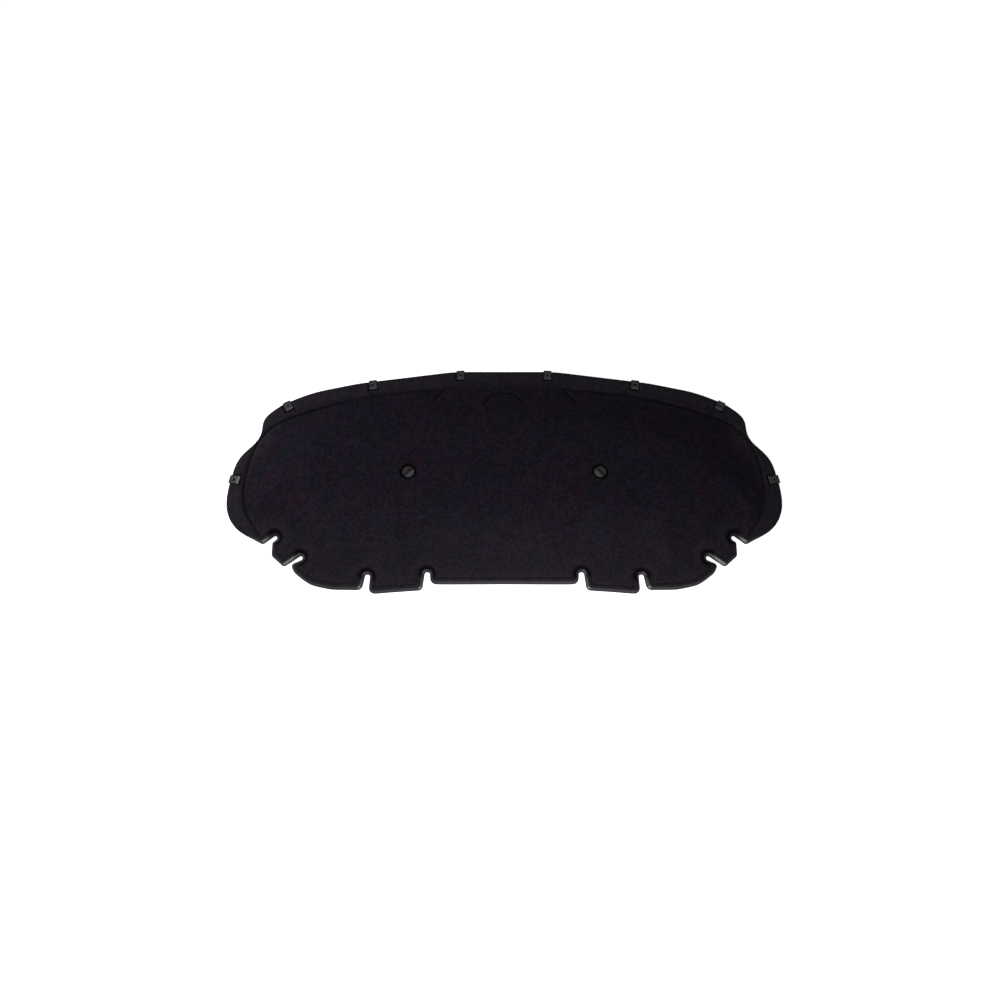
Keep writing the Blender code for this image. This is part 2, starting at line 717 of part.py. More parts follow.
def pin_profile():
    """Section of the pin, from its tip up its outside to the crown of its head."""
    shaft = BORE_RADIUS - GAP
    tip = FLOOR_CLEARANCE + PIN_TIP
    profile = [(0, tip), (shaft * TIP_SHARE, tip), (shaft, tip + PIN_TIP), (shaft, HEAD_BACK_Z)]
    profile.append((HEAD_RADIUS - EDGE_BREAK, HEAD_BACK_Z))
    profile.append((HEAD_RADIUS, HEAD_BACK_Z + EDGE_BREAK))
    profile.append((HEAD_RADIUS, HEAD_BACK_Z + HEAD_RIM))
    for k in range(1, CROWN_STEPS):
        turn = math.pi / 2 * k / CROWN_STEPS
        crown = HEAD_BACK_Z + HEAD_RIM + HEAD_CROWN * math.sin(turn)
        profile.append((HEAD_RADIUS * math.cos(turn), crown))
    profile.append((0, HEAD_BACK_Z + HEAD_RIM + HEAD_CROWN))
    return profile


def fastener(side, sign, parent, finish):
    """One push fastener: its sleeve and its pin, on an empty at the dimple's middle."""
    centre = bpy.data.objects.new(f"fastener_centre_{side}", None)
    bpy.context.scene.collection.objects.link(centre)
    centre.parent = parent
    centre.location = (sign * FASTENER_X, FASTENER_Y, 0)
    sleeve = place_piece(f"fastener_sleeve_{side}",
                         turned_mesh(f"fastener_sleeve_{side}", sleeve_profile()), finish[0], centre)
    pin = place_piece(f"fastener_pin_{side}",
                      turned_mesh(f"fastener_pin_{side}", pin_profile()), finish[1], centre)
    split_top = BARB_TOP_Z + SPLIT_ABOVE_BARB
    split = split_top - FLOOR_CLEARANCE + LEG_SPLIT
    for k in range(2):
        cutter = box_cutter(f"leg_split_{side}_{k}", (4 * BARB_RADIUS, LEG_SPLIT, split),
                            (0, 0, split_top - split / 2), HEAD_SLOT_TURN + k * math.pi / 2, centre)
        cut(sleeve, cutter)
    crown = HEAD_BACK_Z + HEAD_RIM + HEAD_CROWN
    slot = box_cutter(f"head_slot_{side}", (3 * HEAD_RADIUS, HEAD_SLOT_WIDTH, 2 * HEAD_SLOT_DEPTH),
                      (0, 0, crown), -sign * HEAD_SLOT_TURN, centre)
    cut(pin, slot)


def build():
    """Clear the scene and make every piece."""
    for old in list(bpy.data.objects):
        bpy.data.objects.remove(old, do_unlink=True)
    felt = material("black_felt", *FELT)
    steel = material("black_spring_steel", *COATED_STEEL)
    sleeve_plastic = material("sleeve_plastic", *SLEEVE_PLASTIC)
    pin_plastic = material("pin_plastic", *PIN_PLASTIC)
    frame = bpy.data.objects.new("pad_frame", None)
    bpy.context.scene.collection.objects.link(frame)
    pad = place_piece("insulation_pad", pad_mesh(), felt, frame)
    mirror = pad.modifiers.new("other_half", "MIRROR")
    mirror.merge_threshold = HALVES_WELD
    highest = EDGE[:, 1].max()
    lowest = EDGE[:, 1].min()
    for sign, side in ((-1, "left"), (1, "right")):
        flip = np.array([sign, 1])
        for name, (foot, along, out) in CLIPS.items():
            title = f"edge_clip_{side}_{name}"
            mesh = clip_mesh(title, foot * flip, along * flip * sign, out * flip)
            place_piece(title, mesh, steel, frame)
            highest = max(highest, max(v.co.y for v in mesh.vertices))
        fastener(side, sign, frame, (sleeve_plastic, pin_plastic))
    frame.location.y = -(highest + lowest) / 2


build()
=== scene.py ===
# %% [markdown]
# # A hood insulation pad
# The felt pad under a car's hood: one pressed sheet of black felt, eight spring clips on its
# edge and two slotted push fasteners in dimples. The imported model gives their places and
# sizes. This script models the felt again with fine pressed detail, makes the hardware with
# rounded edges, and gives each surface a finish built from nodes.

# %% The frame
import math
import bmesh
import bpy
import numpy as np
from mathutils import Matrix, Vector, noise
from mathutils.geometry import delaunay_2d_cdt


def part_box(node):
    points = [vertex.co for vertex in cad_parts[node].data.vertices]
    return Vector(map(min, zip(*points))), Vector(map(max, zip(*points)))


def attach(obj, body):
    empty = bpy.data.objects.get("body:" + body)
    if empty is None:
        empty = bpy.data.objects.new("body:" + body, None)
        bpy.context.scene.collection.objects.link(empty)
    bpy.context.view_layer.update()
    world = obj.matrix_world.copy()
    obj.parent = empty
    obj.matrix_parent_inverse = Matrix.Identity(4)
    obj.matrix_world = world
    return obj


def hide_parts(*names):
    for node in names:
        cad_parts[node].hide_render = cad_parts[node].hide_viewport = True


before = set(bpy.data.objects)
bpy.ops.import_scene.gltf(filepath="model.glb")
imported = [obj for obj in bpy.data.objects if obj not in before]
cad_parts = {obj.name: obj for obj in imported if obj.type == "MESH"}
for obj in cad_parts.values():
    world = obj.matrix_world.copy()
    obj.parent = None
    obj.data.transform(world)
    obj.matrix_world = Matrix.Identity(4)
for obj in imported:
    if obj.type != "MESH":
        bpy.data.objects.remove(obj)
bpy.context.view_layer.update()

# %% [markdown]
# ## The camera
# The photo looks down on the pad at 72.5 degrees with a wide lens, so the near edge shows its
# thickness and the far edge doesn't. The lens, the point looked at and the distance to it
# place the camera.

# %% Camera
CAMERA_LENS_MM = 24
CAMERA_SENSOR_MM = 36
CAMERA_ELEVATION = math.radians(72.5)
CAMERA_DISTANCE = 1.44509
CAMERA_TARGET = Vector((-0.0092, -0.0536, 0))


def link(name, data):
    """A new object in the scene."""
    piece = bpy.data.objects.new(name, data)
    bpy.context.scene.collection.objects.link(piece)
    return piece


camera = link("camera", bpy.data.cameras.new("camera"))
camera.data.lens = CAMERA_LENS_MM
camera.data.sensor_width = CAMERA_SENSOR_MM
away = Vector((0, -math.cos(CAMERA_ELEVATION), math.sin(CAMERA_ELEVATION)))
camera.location = CAMERA_TARGET + away * CAMERA_DISTANCE
camera.rotation_euler.x = math.pi / 2 - CAMERA_ELEVATION
bpy.context.scene.camera = camera
bpy.context.scene.view_settings.view_transform = "Standard"

# %% [markdown]
# ## Light
# Product photos on white use large soft lamps. Here a pale world fills every side, one area
# lamp stands low and near at the front and another further off at the left. They give the
# pressed lines and the hardware a lit side and a dark one, and let the light fall off to the
# right as in the photo. Together they light the pad's middle to about its written colour.
# The camera and the reflections in plastic and metal see the world whiter than it shines.

# %% Lamps and world
WORLD_STRENGTH = 0.34
WORLD_STRENGTH_SEEN = 1.0


def area_lamp(name, place, size, power):
    """A square lamp that faces the origin."""
    lamp = link(name, bpy.data.lights.new(name, "AREA"))
    lamp.data.size = size
    lamp.data.energy = power
    lamp.location = place
    lamp.rotation_euler = (-Vector(place)).to_track_quat("-Z", "Y").to_euler()
    lamp.visible_camera = False


def wire(tree, *pairs):
    """Link outputs to sockets in a node tree."""
    for output, socket in pairs:
        tree.links.new(output, socket)


area_lamp("front_lamp", (0.08, -0.72, 0.40), 0.6, 5.9)
area_lamp("side_lamp", (-1.25, 0.25, 0.45), 0.7, 13.0)

world = bpy.data.worlds.new("studio")
world.use_nodes = True
nodes = world.node_tree.nodes
shine, seen = nodes["Background"], nodes.new("ShaderNodeBackground")
for background, strength in ((shine, WORLD_STRENGTH), (seen, WORLD_STRENGTH_SEEN)):
    background.inputs["Color"].default_value = (1, 1, 1, 1)
    background.inputs["Strength"].default_value = strength
ray = nodes.new("ShaderNodeLightPath")
gloss, any_sight = (nodes.new("ShaderNodeMath") for _ in range(2))
gloss.operation = any_sight.operation = "MAXIMUM"
either = nodes.new("ShaderNodeMixShader")
wire(world.node_tree, (ray.outputs["Is Glossy Ray"], gloss.inputs[0]),
     (ray.outputs["Is Transmission Ray"], gloss.inputs[1]),
     (ray.outputs["Is Camera Ray"], any_sight.inputs[0]), (gloss.outputs[0], any_sight.inputs[1]),
     (any_sight.outputs[0], either.inputs[0]), (shine.outputs[0], either.inputs[1]),
     (seen.outputs[0], either.inputs[2]), (either.outputs[0], nodes["World Output"].inputs[0]))
bpy.context.scene.world = world

# %% [markdown]
# ## Shader maths in plain Python
# A material is a graph of nodes. Writing `a * 0.5 + b` is easier to read than wiring two Math
# nodes by hand, so a small class wraps a socket and lets Python's operators add the nodes.


# %% Finish builder
def maths(operation, backwards=False):
    """A method that adds a Math node for a value and another one or a number."""
    def method(value, other=0.0):
        pair = (other, value) if backwards else (value, other)
        return value.finish.node("ShaderNodeMath", {"operation": operation}, dict(enumerate(pair)))
    return method


class Value:
    """One output of a material's tree. Arithmetic on it adds Math nodes."""

    def __init__(self, finish, output):
        self.finish = finish
        self.output = output

    __add__ = __radd__ = maths("ADD")
    __sub__ = maths("SUBTRACT")
    __rsub__ = maths("SUBTRACT", backwards=True)
    __mul__ = maths("MULTIPLY")
    __abs__ = maths("ABSOLUTE")
    most = maths("MAXIMUM")

    def above(self, low, high):
        """0 below the low value, 1 above the high one, and eased between."""
        return self.finish.node("ShaderNodeMapRange", {"interpolation_type": "SMOOTHSTEP"},
                                {0: self, 1: low, 2: high, 3: 0.0, 4: 1.0})


class Finish:
    """A material whose tree ends in one Principled shader."""

    def __init__(self, name):
        self.material = bpy.data.materials.new(name)
        self.material.use_nodes = True
        self.tree = self.material.node_tree
        self.shader = self.tree.nodes["Principled BSDF"]
        self.place = self.node("ShaderNodeTexCoord", out="Object")

    def node(self, kind, settings=None, sockets=None, out=0):
        """Add a node, feed its sockets and wrap one of its outputs."""
        made = self.tree.nodes.new(kind)
        for key, value in (settings or {}).items():
            setattr(made, key, value)
        for key, value in (sockets or {}).items():
            self.feed(made.inputs[key], value)
        return Value(self, made.outputs[out])

    def feed(self, socket, value):
        """Link a wrapped value to a socket, or set a plain one on it."""
        if isinstance(value, Value):
            self.tree.links.new(value.output, socket)
        elif socket.type == "RGBA":
            socket.default_value = (*value, 1)
        else:
            socket.default_value = value

    def attribute(self, name):
        """A value that is stored on the mesh."""
        return self.node("ShaderNodeAttribute", {"attribute_name": name}, out="Fac")

    def along(self, axis):
        """One coordinate of the place on the object."""
        return self.node("ShaderNodeSeparateXYZ", None, {0: self.place}, axis)

    def stretched(self, scale, turn):
        """The place on the object, turned and then scaled along each axis."""
        turned = self.node("ShaderNodeMapping", None, {"Vector": self.place, "Rotation": turn})
        return self.node("ShaderNodeMapping", None, {"Vector": turned, "Scale": scale})

    def noise(self, scale, detail=2.0, roughness=0.5, distortion=0.0, at=None):
        """Soft random values about 0.5."""
        return self.node("ShaderNodeTexNoise", None, {
            "Vector": at or self.place, "Scale": scale, "Detail": detail,
            "Roughness": roughness, "Distortion": distortion}, out="Fac")

    def mix(self, factor, first, second):
        """A blend of two colours."""
        return self.node("ShaderNodeMix", {"data_type": "RGBA"},
                         {0: factor, 6: first, 7: second}, out=2)

    def bump(self, height, distance, strength):
        """A normal that shows a height as relief of so many metres."""
        return self.node("ShaderNodeBump", None,
                         {"Height": height, "Distance": distance, "Strength": strength})

    def surface(self, **sockets):
        """Set the shader's own sockets, with underscores for spaces."""
        for key, value in sockets.items():
            self.feed(self.shader.inputs[key.replace("_", " ")], value)
        return self.material


# %% [markdown]
# ## Floor
# The pad lies on plain pale paint. To the camera and in reflections it is whiter than to other
# light and glows a little, so that the background is white right out to the corners while
# the pad still casts its soft shadow.

# %% Floor
FLOOR_COLOUR = (0.80,) * 3
FLOOR_COLOUR_SEEN = (1.0,) * 3
FLOOR_GLOW_SEEN = (0.68,) * 3


def floor_finish():
    """Plain pale paint."""
    finish = Finish("floor_paint")
    camera_ray, glossy_ray, through_ray = (
        finish.node("ShaderNodeLightPath", out=f"Is {kind} Ray")
        for kind in ("Camera", "Glossy", "Transmission"))
    seen = camera_ray.most(glossy_ray).most(through_ray)
    shade = finish.mix(seen, FLOOR_COLOUR, FLOOR_COLOUR_SEEN)
    glow = finish.mix(seen, (0, 0, 0), FLOOR_GLOW_SEEN)
    return finish.surface(Base_Color=shade, Roughness=0.9, Specular_IOR_Level=0.0,
                          Emission_Color=glow, Emission_Strength=1.0)


bpy.ops.mesh.primitive_plane_add(size=16)
floor = bpy.context.object
floor.name = "floor"
floor.data.materials.append(floor_finish())

# %% [markdown]
# ## Reading the pad's edge from the frame
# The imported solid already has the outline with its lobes, tabs and slots, so it is read from
# a merged copy of that: the edge is where an upright wall meets a face that looks up. A
# smooth curve through the points then gives the outline its fine steps.

# %% Outline of the pad
EDGE_STEP = 0.0026
UPRIGHT = 0.05


def rim_loop(node):
    """The longest closed loop of points where a node's upright walls meet its top."""
    work = bmesh.new()
    work.from_mesh(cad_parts[node].data)
    bmesh.ops.remove_doubles(work, verts=work.verts, dist=1e-6)
    beside = {}
    for edge in work.edges:
        tops = [face.normal.z >= UPRIGHT for face in edge.link_faces]
        walls = [abs(face.normal.z) < UPRIGHT for face in edge.link_faces]
        if sum(tops) == 1 and sum(walls) == 1:
            for vert in edge.verts:
                beside.setdefault(vert.index, []).append(edge.other_vert(vert).index)
    places = [vert.co.xy for vert in work.verts]
    work.free()
    loops = []
    while beside:
        here = min(beside)
        loop = []
        while here is not None:
            loop.append(np.array(places[here], float))
            ahead = [n for n in beside.pop(here) if n in beside]
            here = ahead[0] if ahead else None
        loops.append(np.array(loop))
    return max(loops, key=len)


def curve_through(points, step):
    """A smooth open curve through the points, with a point about every step."""
    points = np.array(points, float)
    ends = [2 * points[0] - points[1], *points, 2 * points[-1] - points[-2]]
    result = []
    for p0, p1, p2, p3 in zip(ends, ends[1:], ends[2:], ends[3:]):
        runs = [max(np.linalg.norm(b - a), 1e-7) ** 0.5 for a, b in ((p0, p1), (p1, p2), (p2, p3))]
        t0, t1, t2, t3 = 0, runs[0], runs[0] + runs[1], sum(runs)
        pieces = max(1, round(np.linalg.norm(p2 - p1) / step))
        for t in t1 + (t2 - t1) * np.arange(pieces) / pieces:
            a = p0 + (p1 - p0) * (t - t0) / (t1 - t0)
            b = p1 + (p2 - p1) * (t - t1) / (t2 - t1)
            c = p2 + (p3 - p2) * (t - t2) / (t3 - t2)
            d = a + (b - a) * (t - t0) / (t2 - t0)
            e = b + (c - b) * (t - t1) / (t3 - t1)
            result.append(d + (e - d) * (t - t1) / (t2 - t1))
    return np.array([*result, points[-1]])


def right_half(loop):
    """The part of a loop on the right of the middle, from its back to its front."""
    kept = loop[:, 0] > -1e-6
    first = next(i for i in range(len(loop)) if kept[i] and not kept[i - 1])
    half = np.roll(loop, -first, axis=0)[:kept.sum()]
    half = half if half[0, 1] > half[-1, 1] else half[::-1]
    half[[0, -1], 0] = 0
    return half


EDGE = curve_through(right_half(rim_loop("insulation_pad")), EDGE_STEP)
pad_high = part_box("insulation_pad")[1]

# %% [markdown]
# ## What the mould presses
# A hot mould closes on a thick blanket. Where it pinches, the felt is thin, dense and a
# little shiny, and elsewhere it springs back soft. So the face is one height that depends on
# the place: a border that curls down to a thin lip, a pinched groove, lands round the slots,
# shallow channels, dimples for the fasteners and flat seats for the clips. The values repeat
# the solid's own, but the groove is 1.5 mm shallower, for the photo's softer shade. The
# painted shade in the crescents, crease, channels, dimples and seats, the presses, cut marks,
# pale runs and rings only steer the finish.

# %% Values of the mould, in metres
HALF_WIDTH = pad_high.x
BODY_HEIGHT = pad_high.z
BACK_EDGE_Y = 0.2556
SHIFT_Y = EDGE[0, 1] - BACK_EDGE_Y
HOLLOW_DEPTH = 0.0135
BORDER_HEIGHT = 0.0105
BORDER_WIDTH = 0.030
RISE_RUN = 0.120
BACK_LIP = 0.004
FRONT_LIP = 0.008
SHOULDER_WIDTH = 0.009
FRONT_LIP_STARTS_Y = -0.125
FRONT_LIP_RUN = 0.020
CUT_RIM_HEIGHT = 0.0036
CUT_RIM_RUN = 0.0048
CREASE_INSET = 0.0128
CREASE_HALF_WIDTH = 0.0018
CREASE_DEPTH = 0.0012
CREASE_SHADE = 0.25
LINE_PRESS = 0.8
GROOVE_FLOOR = 0.0065
GROOVE_WIDTH = 0.008
GROOVE_REACH = 1.15
SLOT_WIDTH = 0.0105
LAND_HEIGHT = 0.0062
LAND_WIDTH = 0.0045
LAND_WALL_RUN = 0.0075
LAND_FADE = 0.014
CUT_MARK_RUN = 0.006
PALE_START, PALE_RUN, PALE_LEAST = 0.004, 0.012, 0.25
RING_START, RING_RISE, RING_FALL = 0.003, 0.004, 0.009
CHANNEL_DEPTH = 0.003
CHANNEL_WIDTH = 0.009
CHANNEL_FADE = 0.030
CHANNEL_REACH = 1.1
CHANNEL_SHADE = 0.35
CHANNEL_SHADE_FADE = 0.012
DIMPLE_FLOOR_Z = 0.0185
DIMPLE_FLOOR_RADIUS = 0.0155
DIMPLE_WALL_RUN = 0.0035
DIMPLE_SHADE = 0.9
DIMPLE_SHADE_START = DIMPLE_FLOOR_RADIUS - 0.001
DIMPLE_SHADE_RUN = 0.0065
HOLE_RADIUS = 0.0056
CLIP_STRIP = 0.001
CLIP_PROUD = 0.0042
GAP = 0.0003
SEAT_BACK_Z = CLIP_STRIP + 2 * GAP
SEAT_TOP_Z = 0.0052
SEAT_HALF = 0.01035
SEAT_DEPTH = 0.0224
SEAT_RUN = 0.003
SEAT_SHADE = 0.4


def placed(points):
    """Points measured about the pad's middle, moved to where the frame has it."""
    return np.array(points, float) + (0, SHIFT_Y)


GROOVE = curve_through(placed([
    (0.143, 0.209), (0.225, 0.2010), (0.317, 0.1875), (0.395, 0.1665), (0.465, 0.1420),
    (HALF_WIDTH - 0.091, 0.121), (HALF_WIDTH - 0.061, 0.089), (HALF_WIDTH - 0.046, 0.050),
    (HALF_WIDTH - 0.038, 0.006), (HALF_WIDTH - 0.0365, -0.033), (HALF_WIDTH - 0.045, -0.074),
    (HALF_WIDTH - 0.063, -0.106), (HALF_WIDTH - 0.081, -0.130)]), EDGE_STEP)
MIDDLE_CHANNEL = placed([(0, 0.1976), (0.0215, 0.1976), (0.0255, 0.1955), (0.0510, 0.1576)])
BRANCH_CHANNEL = placed([(0.134, 0.210), (0.168, 0.1664)])
CHANNELS = [curve_through(path, EDGE_STEP) for path in (MIDDLE_CHANNEL, BRANCH_CHANNEL)]
SLOT_LENGTH = 0.035
SLOT_ENDS = ((0.483, -0.1345, -32), (0.425, -0.1785, -27), (0.2855, -0.2155, -78),
             (0.161, -0.2105, -84))


def slot_frame(x, y, way):
    """Middle of a slot's round end, and the direction to its mouth."""
    out = np.array([math.cos(math.radians(way)), math.sin(math.radians(way))])
    return placed((x, y)) + out * SLOT_WIDTH / 2, out


SLOTS = [slot_frame(*end) for end in SLOT_ENDS]
PIN = np.array(sum(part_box("fastener_pin_right"), Vector())[:2]) / 2
CLIP_NAMES = [f"edge_clip_{side}_{place}" for side in ("left", "right")
              for place in ("middle", "shoulder", "corner", "lobe")]


def clip_frame(node):
    """A clip's furthest point out, its direction across and its direction out.

    Most of a bent strip's upright area is its two sides, so the sum of their normals' doubled
    angles gives the line across it. Out is away from the pad's middle."""
    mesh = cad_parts[node].data
    doubled = sum(face.area * complex(*face.normal.xy) ** 2 for face in mesh.polygons
                  if abs(face.normal.z) < UPRIGHT)
    line = doubled ** 0.5 / abs(doubled) ** 0.5
    across, out = np.array([line.real, line.imag]), np.array([-line.imag, line.real])
    places = np.array([vert.co.xy for vert in mesh.vertices])
    if out @ places.mean(0) < 0:
        across, out = -across, -out
    beside, outward = places @ across, places @ out
    return across * (beside.max() + beside.min()) / 2 + out * outward.max(), across, out


CLIPS = {name: clip_frame(name) for name in CLIP_NAMES}


# %% [markdown]
# ## Heights of the two faces
# Every pressed form is a soft step between two heights. `smooth` eases a share from 0 to 1,
# and `distance` tells how far each point is from a line, so a groove is a line with a width.
# The back is flat round the border and hollow in the middle.

# %% Heights
POINTS_AT_ONCE = 2000


def smooth(t):
    """An eased step from 0 to 1."""
    t = np.clip(t, 0, 1)
    return t * t * (3 - 2 * t)


def nearest(points, path):
    """How far each point is from a path, and the number of the path's nearest piece."""
    run = path[1:] - path[:-1]
    gaps, pieces = [], []
    for part in np.array_split(points, len(points) // POINTS_AT_ONCE + 1):
        offset = part[:, None] - path[:-1]
        along = np.clip((offset * run).sum(2) / (run * run).sum(1), 0, 1)
        gap = np.linalg.norm(offset - run * along[..., None], axis=2)
        gaps.append(gap.min(1))
        pieces.append(gap.argmin(1))
    return np.concatenate(gaps), np.concatenate(pieces)


def left_of(ways):
    """The unit vector to the left of each way."""
    return np.stack([-ways[:, 1], ways[:, 0]], 1) / np.linalg.norm(ways, axis=1)[:, None]


def distance(points, path):
    """How far each point is from a path."""
    return nearest(points, path)[0]


def seat_press(points):
    """How fully each point is pressed for a clip."""
    press = np.zeros(len(points))
    for foot, across, out in CLIPS.values():
        offset = points - (foot - out * CLIP_PROUD)
        beside = np.abs(offset @ across) - SEAT_HALF
        inward = -(offset @ out) - SEAT_DEPTH
        press = np.maximum(press, smooth(1 - np.maximum(beside, inward) / SEAT_RUN))
    return press


def slot_marks(points, piece):
    """How fully each point is pressed to the land of a slot, how near the cut it is, how pale
    the core shows there, and how strong the painted shade is in the crescent round the slot's
    closed end."""
    land, by_slot, pale, crescent = (np.zeros(len(points)) for _ in range(4))
    for centre, out in SLOTS:
        offset = points - centre
        beyond = np.linalg.norm(offset, axis=1) - SLOT_WIDTH / 2
        fade = 1 - smooth(offset @ out / LAND_FADE)
        land = np.maximum(land, fade * (1 - smooth((beyond - LAND_WIDTH) / LAND_WALL_RUN)))
        line = np.array([centre, centre + out * SLOT_LENGTH])
        beside_cut = distance(points, line) - SLOT_WIDTH / 2
        near = 1 - smooth((beside_cut - CUT_MARK_RUN) / CUT_MARK_RUN)
        by_slot = np.maximum(by_slot, near)
        to_mouth = smooth((offset @ out - PALE_START) / PALE_RUN)
        pale = np.maximum(pale, near * (PALE_LEAST + (1 - PALE_LEAST) * to_mouth))
        # Painted shade in a crescent round the slot's closed end.
        ring_share = smooth((beyond - RING_START) / RING_RISE) * (
            1 - smooth((beyond - RING_FALL) / RING_FALL))
        crescent = np.maximum(crescent, ring_share * fade)
    outward = left_of(np.diff(EDGE, axis=0))
    to_middle = smooth((-outward[piece, 0] - 0.05) / 0.35)
    to_front = 0.15 + 0.85 * smooth((-outward[piece, 1] - 0.15) / 0.55)
    return land, by_slot, pale * to_middle * to_front, crescent


def faces_at(points):
    """Heights of the face and the back at points of the right half, and the finishes' values."""
    inset, piece = nearest(points, EDGE)
    front = smooth((FRONT_LIP_STARTS_Y + SHIFT_Y - points[:, 1]) / FRONT_LIP_RUN)
    lip = BACK_LIP + (FRONT_LIP - BACK_LIP) * front
    bulge = np.sqrt(1 - (1 - np.clip(inset / SHOULDER_WIDTH, 0, 1)) ** 2)
    top = lip + (BORDER_HEIGHT - lip) * bulge
    rise = smooth((inset - BORDER_WIDTH) / RISE_RUN)
    top += (BODY_HEIGHT - BORDER_HEIGHT) * rise
    pinch = smooth(GROOVE_REACH - distance(points, GROOVE) / (GROOVE_WIDTH / 2))
    top += (np.minimum(top, GROOVE_FLOOR) - top) * pinch
    land, by_slot, pale, crescent = slot_marks(points, piece)
    top += (np.minimum(top, LAND_HEIGHT) - top) * land
    crease = front * (1 - land) * smooth(1 - np.abs(inset - CREASE_INSET) / CREASE_HALF_WIDTH)
    top -= CREASE_DEPTH * crease
    cut = front * (1 - np.clip(inset / CUT_RIM_RUN, 0, 1))
    top += (np.minimum(top, CUT_RIM_HEIGHT) - top) * cut
    pressed = np.maximum.reduce([pinch, land, crease * LINE_PRESS])
    # The dark value is painted shade: slot crescents, crease, channels, dimple rings and clip
    # seats.
    dark = np.maximum(crescent, crease * CREASE_SHADE)
    for path in CHANNELS:
        across = smooth(CHANNEL_REACH - distance(points, path) / (CHANNEL_WIDTH / 2))
        from_end = np.linalg.norm(points - path[-1], axis=1)
        dark = np.maximum(dark, across * smooth(from_end / CHANNEL_SHADE_FADE) * CHANNEL_SHADE)
        across *= smooth(from_end / CHANNEL_FADE)
        top -= CHANNEL_DEPTH * across
        pressed = np.maximum(pressed, across * LINE_PRESS)
    from_pin = np.linalg.norm(points - PIN, axis=1)
    dimple = 1 - smooth((from_pin - DIMPLE_FLOOR_RADIUS) / DIMPLE_WALL_RUN)
    top += (DIMPLE_FLOOR_Z - top) * dimple
    seat = seat_press(points)
    top += (SEAT_TOP_Z - top) * seat
    back = HOLLOW_DEPTH * rise
    back += (SEAT_BACK_Z - back) * seat
    pressed = np.maximum.reduce([pressed, dimple, seat])
    # Painted shadow round the dimple, and painted shade on the clip seats.
    shadow = 1 - smooth((from_pin - DIMPLE_SHADE_START) / DIMPLE_SHADE_RUN)
    dark = np.maximum.reduce([dark, shadow * DIMPLE_SHADE, seat * SEAT_SHADE])
    return top, back, {"inset": inset, "pressed": pressed, "dark": dark, "by_slot": by_slot,
                       "pale": pale * front, "at_front": front}


# %% [markdown]
# ## One sheet of points
# The points of a face lie in rows along its edge and every pressed line, and in a staggered
# grid between them. A point that comes too near an earlier one is dropped. A Delaunay fill
# then turns them into even triangles.

# %% Points and triangles of a face
TOP_GRID = 0.0042
BACK_GRID = 0.0085
ROW_STEP = 0.0026
ROW_CLEARANCE = 0.62
TOP_INSETS = (0.0009, 0.0018, 0.0026, 0.0034, 0.0042, CUT_RIM_RUN, 0.0065, SHOULDER_WIDTH)
BACK_INSETS = (0.004, BORDER_WIDTH)
LAND_ROWS = (0.35, 0.7, 1)
GROOVE_ROWS = (0, 0.25, 0.5, 0.8, 1.15)
DIMPLE_ROWS = (-0.3, 0, 0.3, 0.6, 1, 1.4)


def beside(path, inset):
    """The path moved to its right, without the parts that come too near it."""
    moved = path - left_of(np.gradient(path, axis=0)) * inset
    return moved[(distance(moved, path) > abs(inset) * 0.96) & (moved[:, 0] > 0)]


def ring(centre, radius, step):
    """Points on a circle."""
    count = max(12, round(2 * math.pi * radius / step))
    turns = np.arange(count) * 2 * math.pi / count
    return centre + radius * np.stack([np.cos(turns), np.sin(turns)], 1)


def inside(points, loop):
    """Whether each point is inside a closed loop."""
    result = np.zeros(len(points), bool)
    for a, b in zip(loop, np.roll(loop, -1, axis=0)):
        crosses = (a[1] > points[:, 1]) != (b[1] > points[:, 1])
        slope = (b[0] - a[0]) / (b[1] - a[1] if b[1] != a[1] else 1e-12)
        result ^= crosses & (points[:, 0] < a[0] + slope * (points[:, 1] - a[1]))
    return result


def stagger(low, high, spacing):
    """A staggered grid of points in a box."""
    rows = np.arange(low[1], high[1], spacing * 0.866)
    return np.array([(x + spacing / 2 * (k % 2), y) for k, y in enumerate(rows)
                     for x in np.arange(low[0] + spacing / 2, high[0], spacing)])


class Sheet:
    """Points that keep clear of each other, gathered in order of importance."""

    CELL = 0.009

    def __init__(self):
        self.points = []
        self.cells = {}

    def add(self, points, clearance):
        """Add those points that are clear of the ones before."""
        for x, y in points:
            column, row = int(x // self.CELL), int(y // self.CELL)
            near = (p for i in (-1, 0, 1) for j in (-1, 0, 1)
                    for p in self.cells.get((column + i, row + j), ()))
            if all((x - p[0]) ** 2 + (y - p[1]) ** 2 >= clearance ** 2 for p in near):
                self.cells.setdefault((column, row), []).append((x, y))
                self.points.append((x, y))


def fill(loop, hole, rows, spacing):
    """Points, the loop's and the hole's first, and triangles between the two."""
    sheet = Sheet()
    sheet.add(loop, 0)
    sheet.add(hole, 0)
    low, high = loop.min(0), loop.max(0)
    for points, step in [*rows, (stagger(low, high, spacing), spacing)]:
        kept = inside(points, loop) & ~inside(points, hole)
        sheet.add(points[kept], step * ROW_CLEARANCE)
    count, around = len(loop), len(hole)
    links = [(i, (i + 1) % count) for i in range(count)]
    links += [(count + i, count + (i + 1) % around) for i in range(around)]
    flat = [Vector((float(x), float(y))) for x, y in sheet.points]
    _, _, triangles, origins, *_ = delaunay_2d_cdt(flat, links, [], 0, 1e-7, True)
    source = [found[0] for found in origins]
    points = np.array(sheet.points)
    triangles = np.array([[source[i] for i in triangle] for triangle in triangles])
    centres = points[triangles].mean(1)
    return points, triangles[inside(centres, loop) & ~inside(centres, hole)]


def slot_rings():
    """Rows of points round the pressed land of each slot."""
    rows = []
    for centre, out in SLOTS:
        for reach in (LAND_WIDTH / 2, LAND_WIDTH,
                      *(LAND_WIDTH + LAND_WALL_RUN * share for share in LAND_ROWS)):
            circle = ring(centre, SLOT_WIDTH / 2 + reach, ROW_STEP)
            rows.append((circle[(circle - centre) @ out < LAND_FADE * 0.7], ROW_STEP))
    return rows


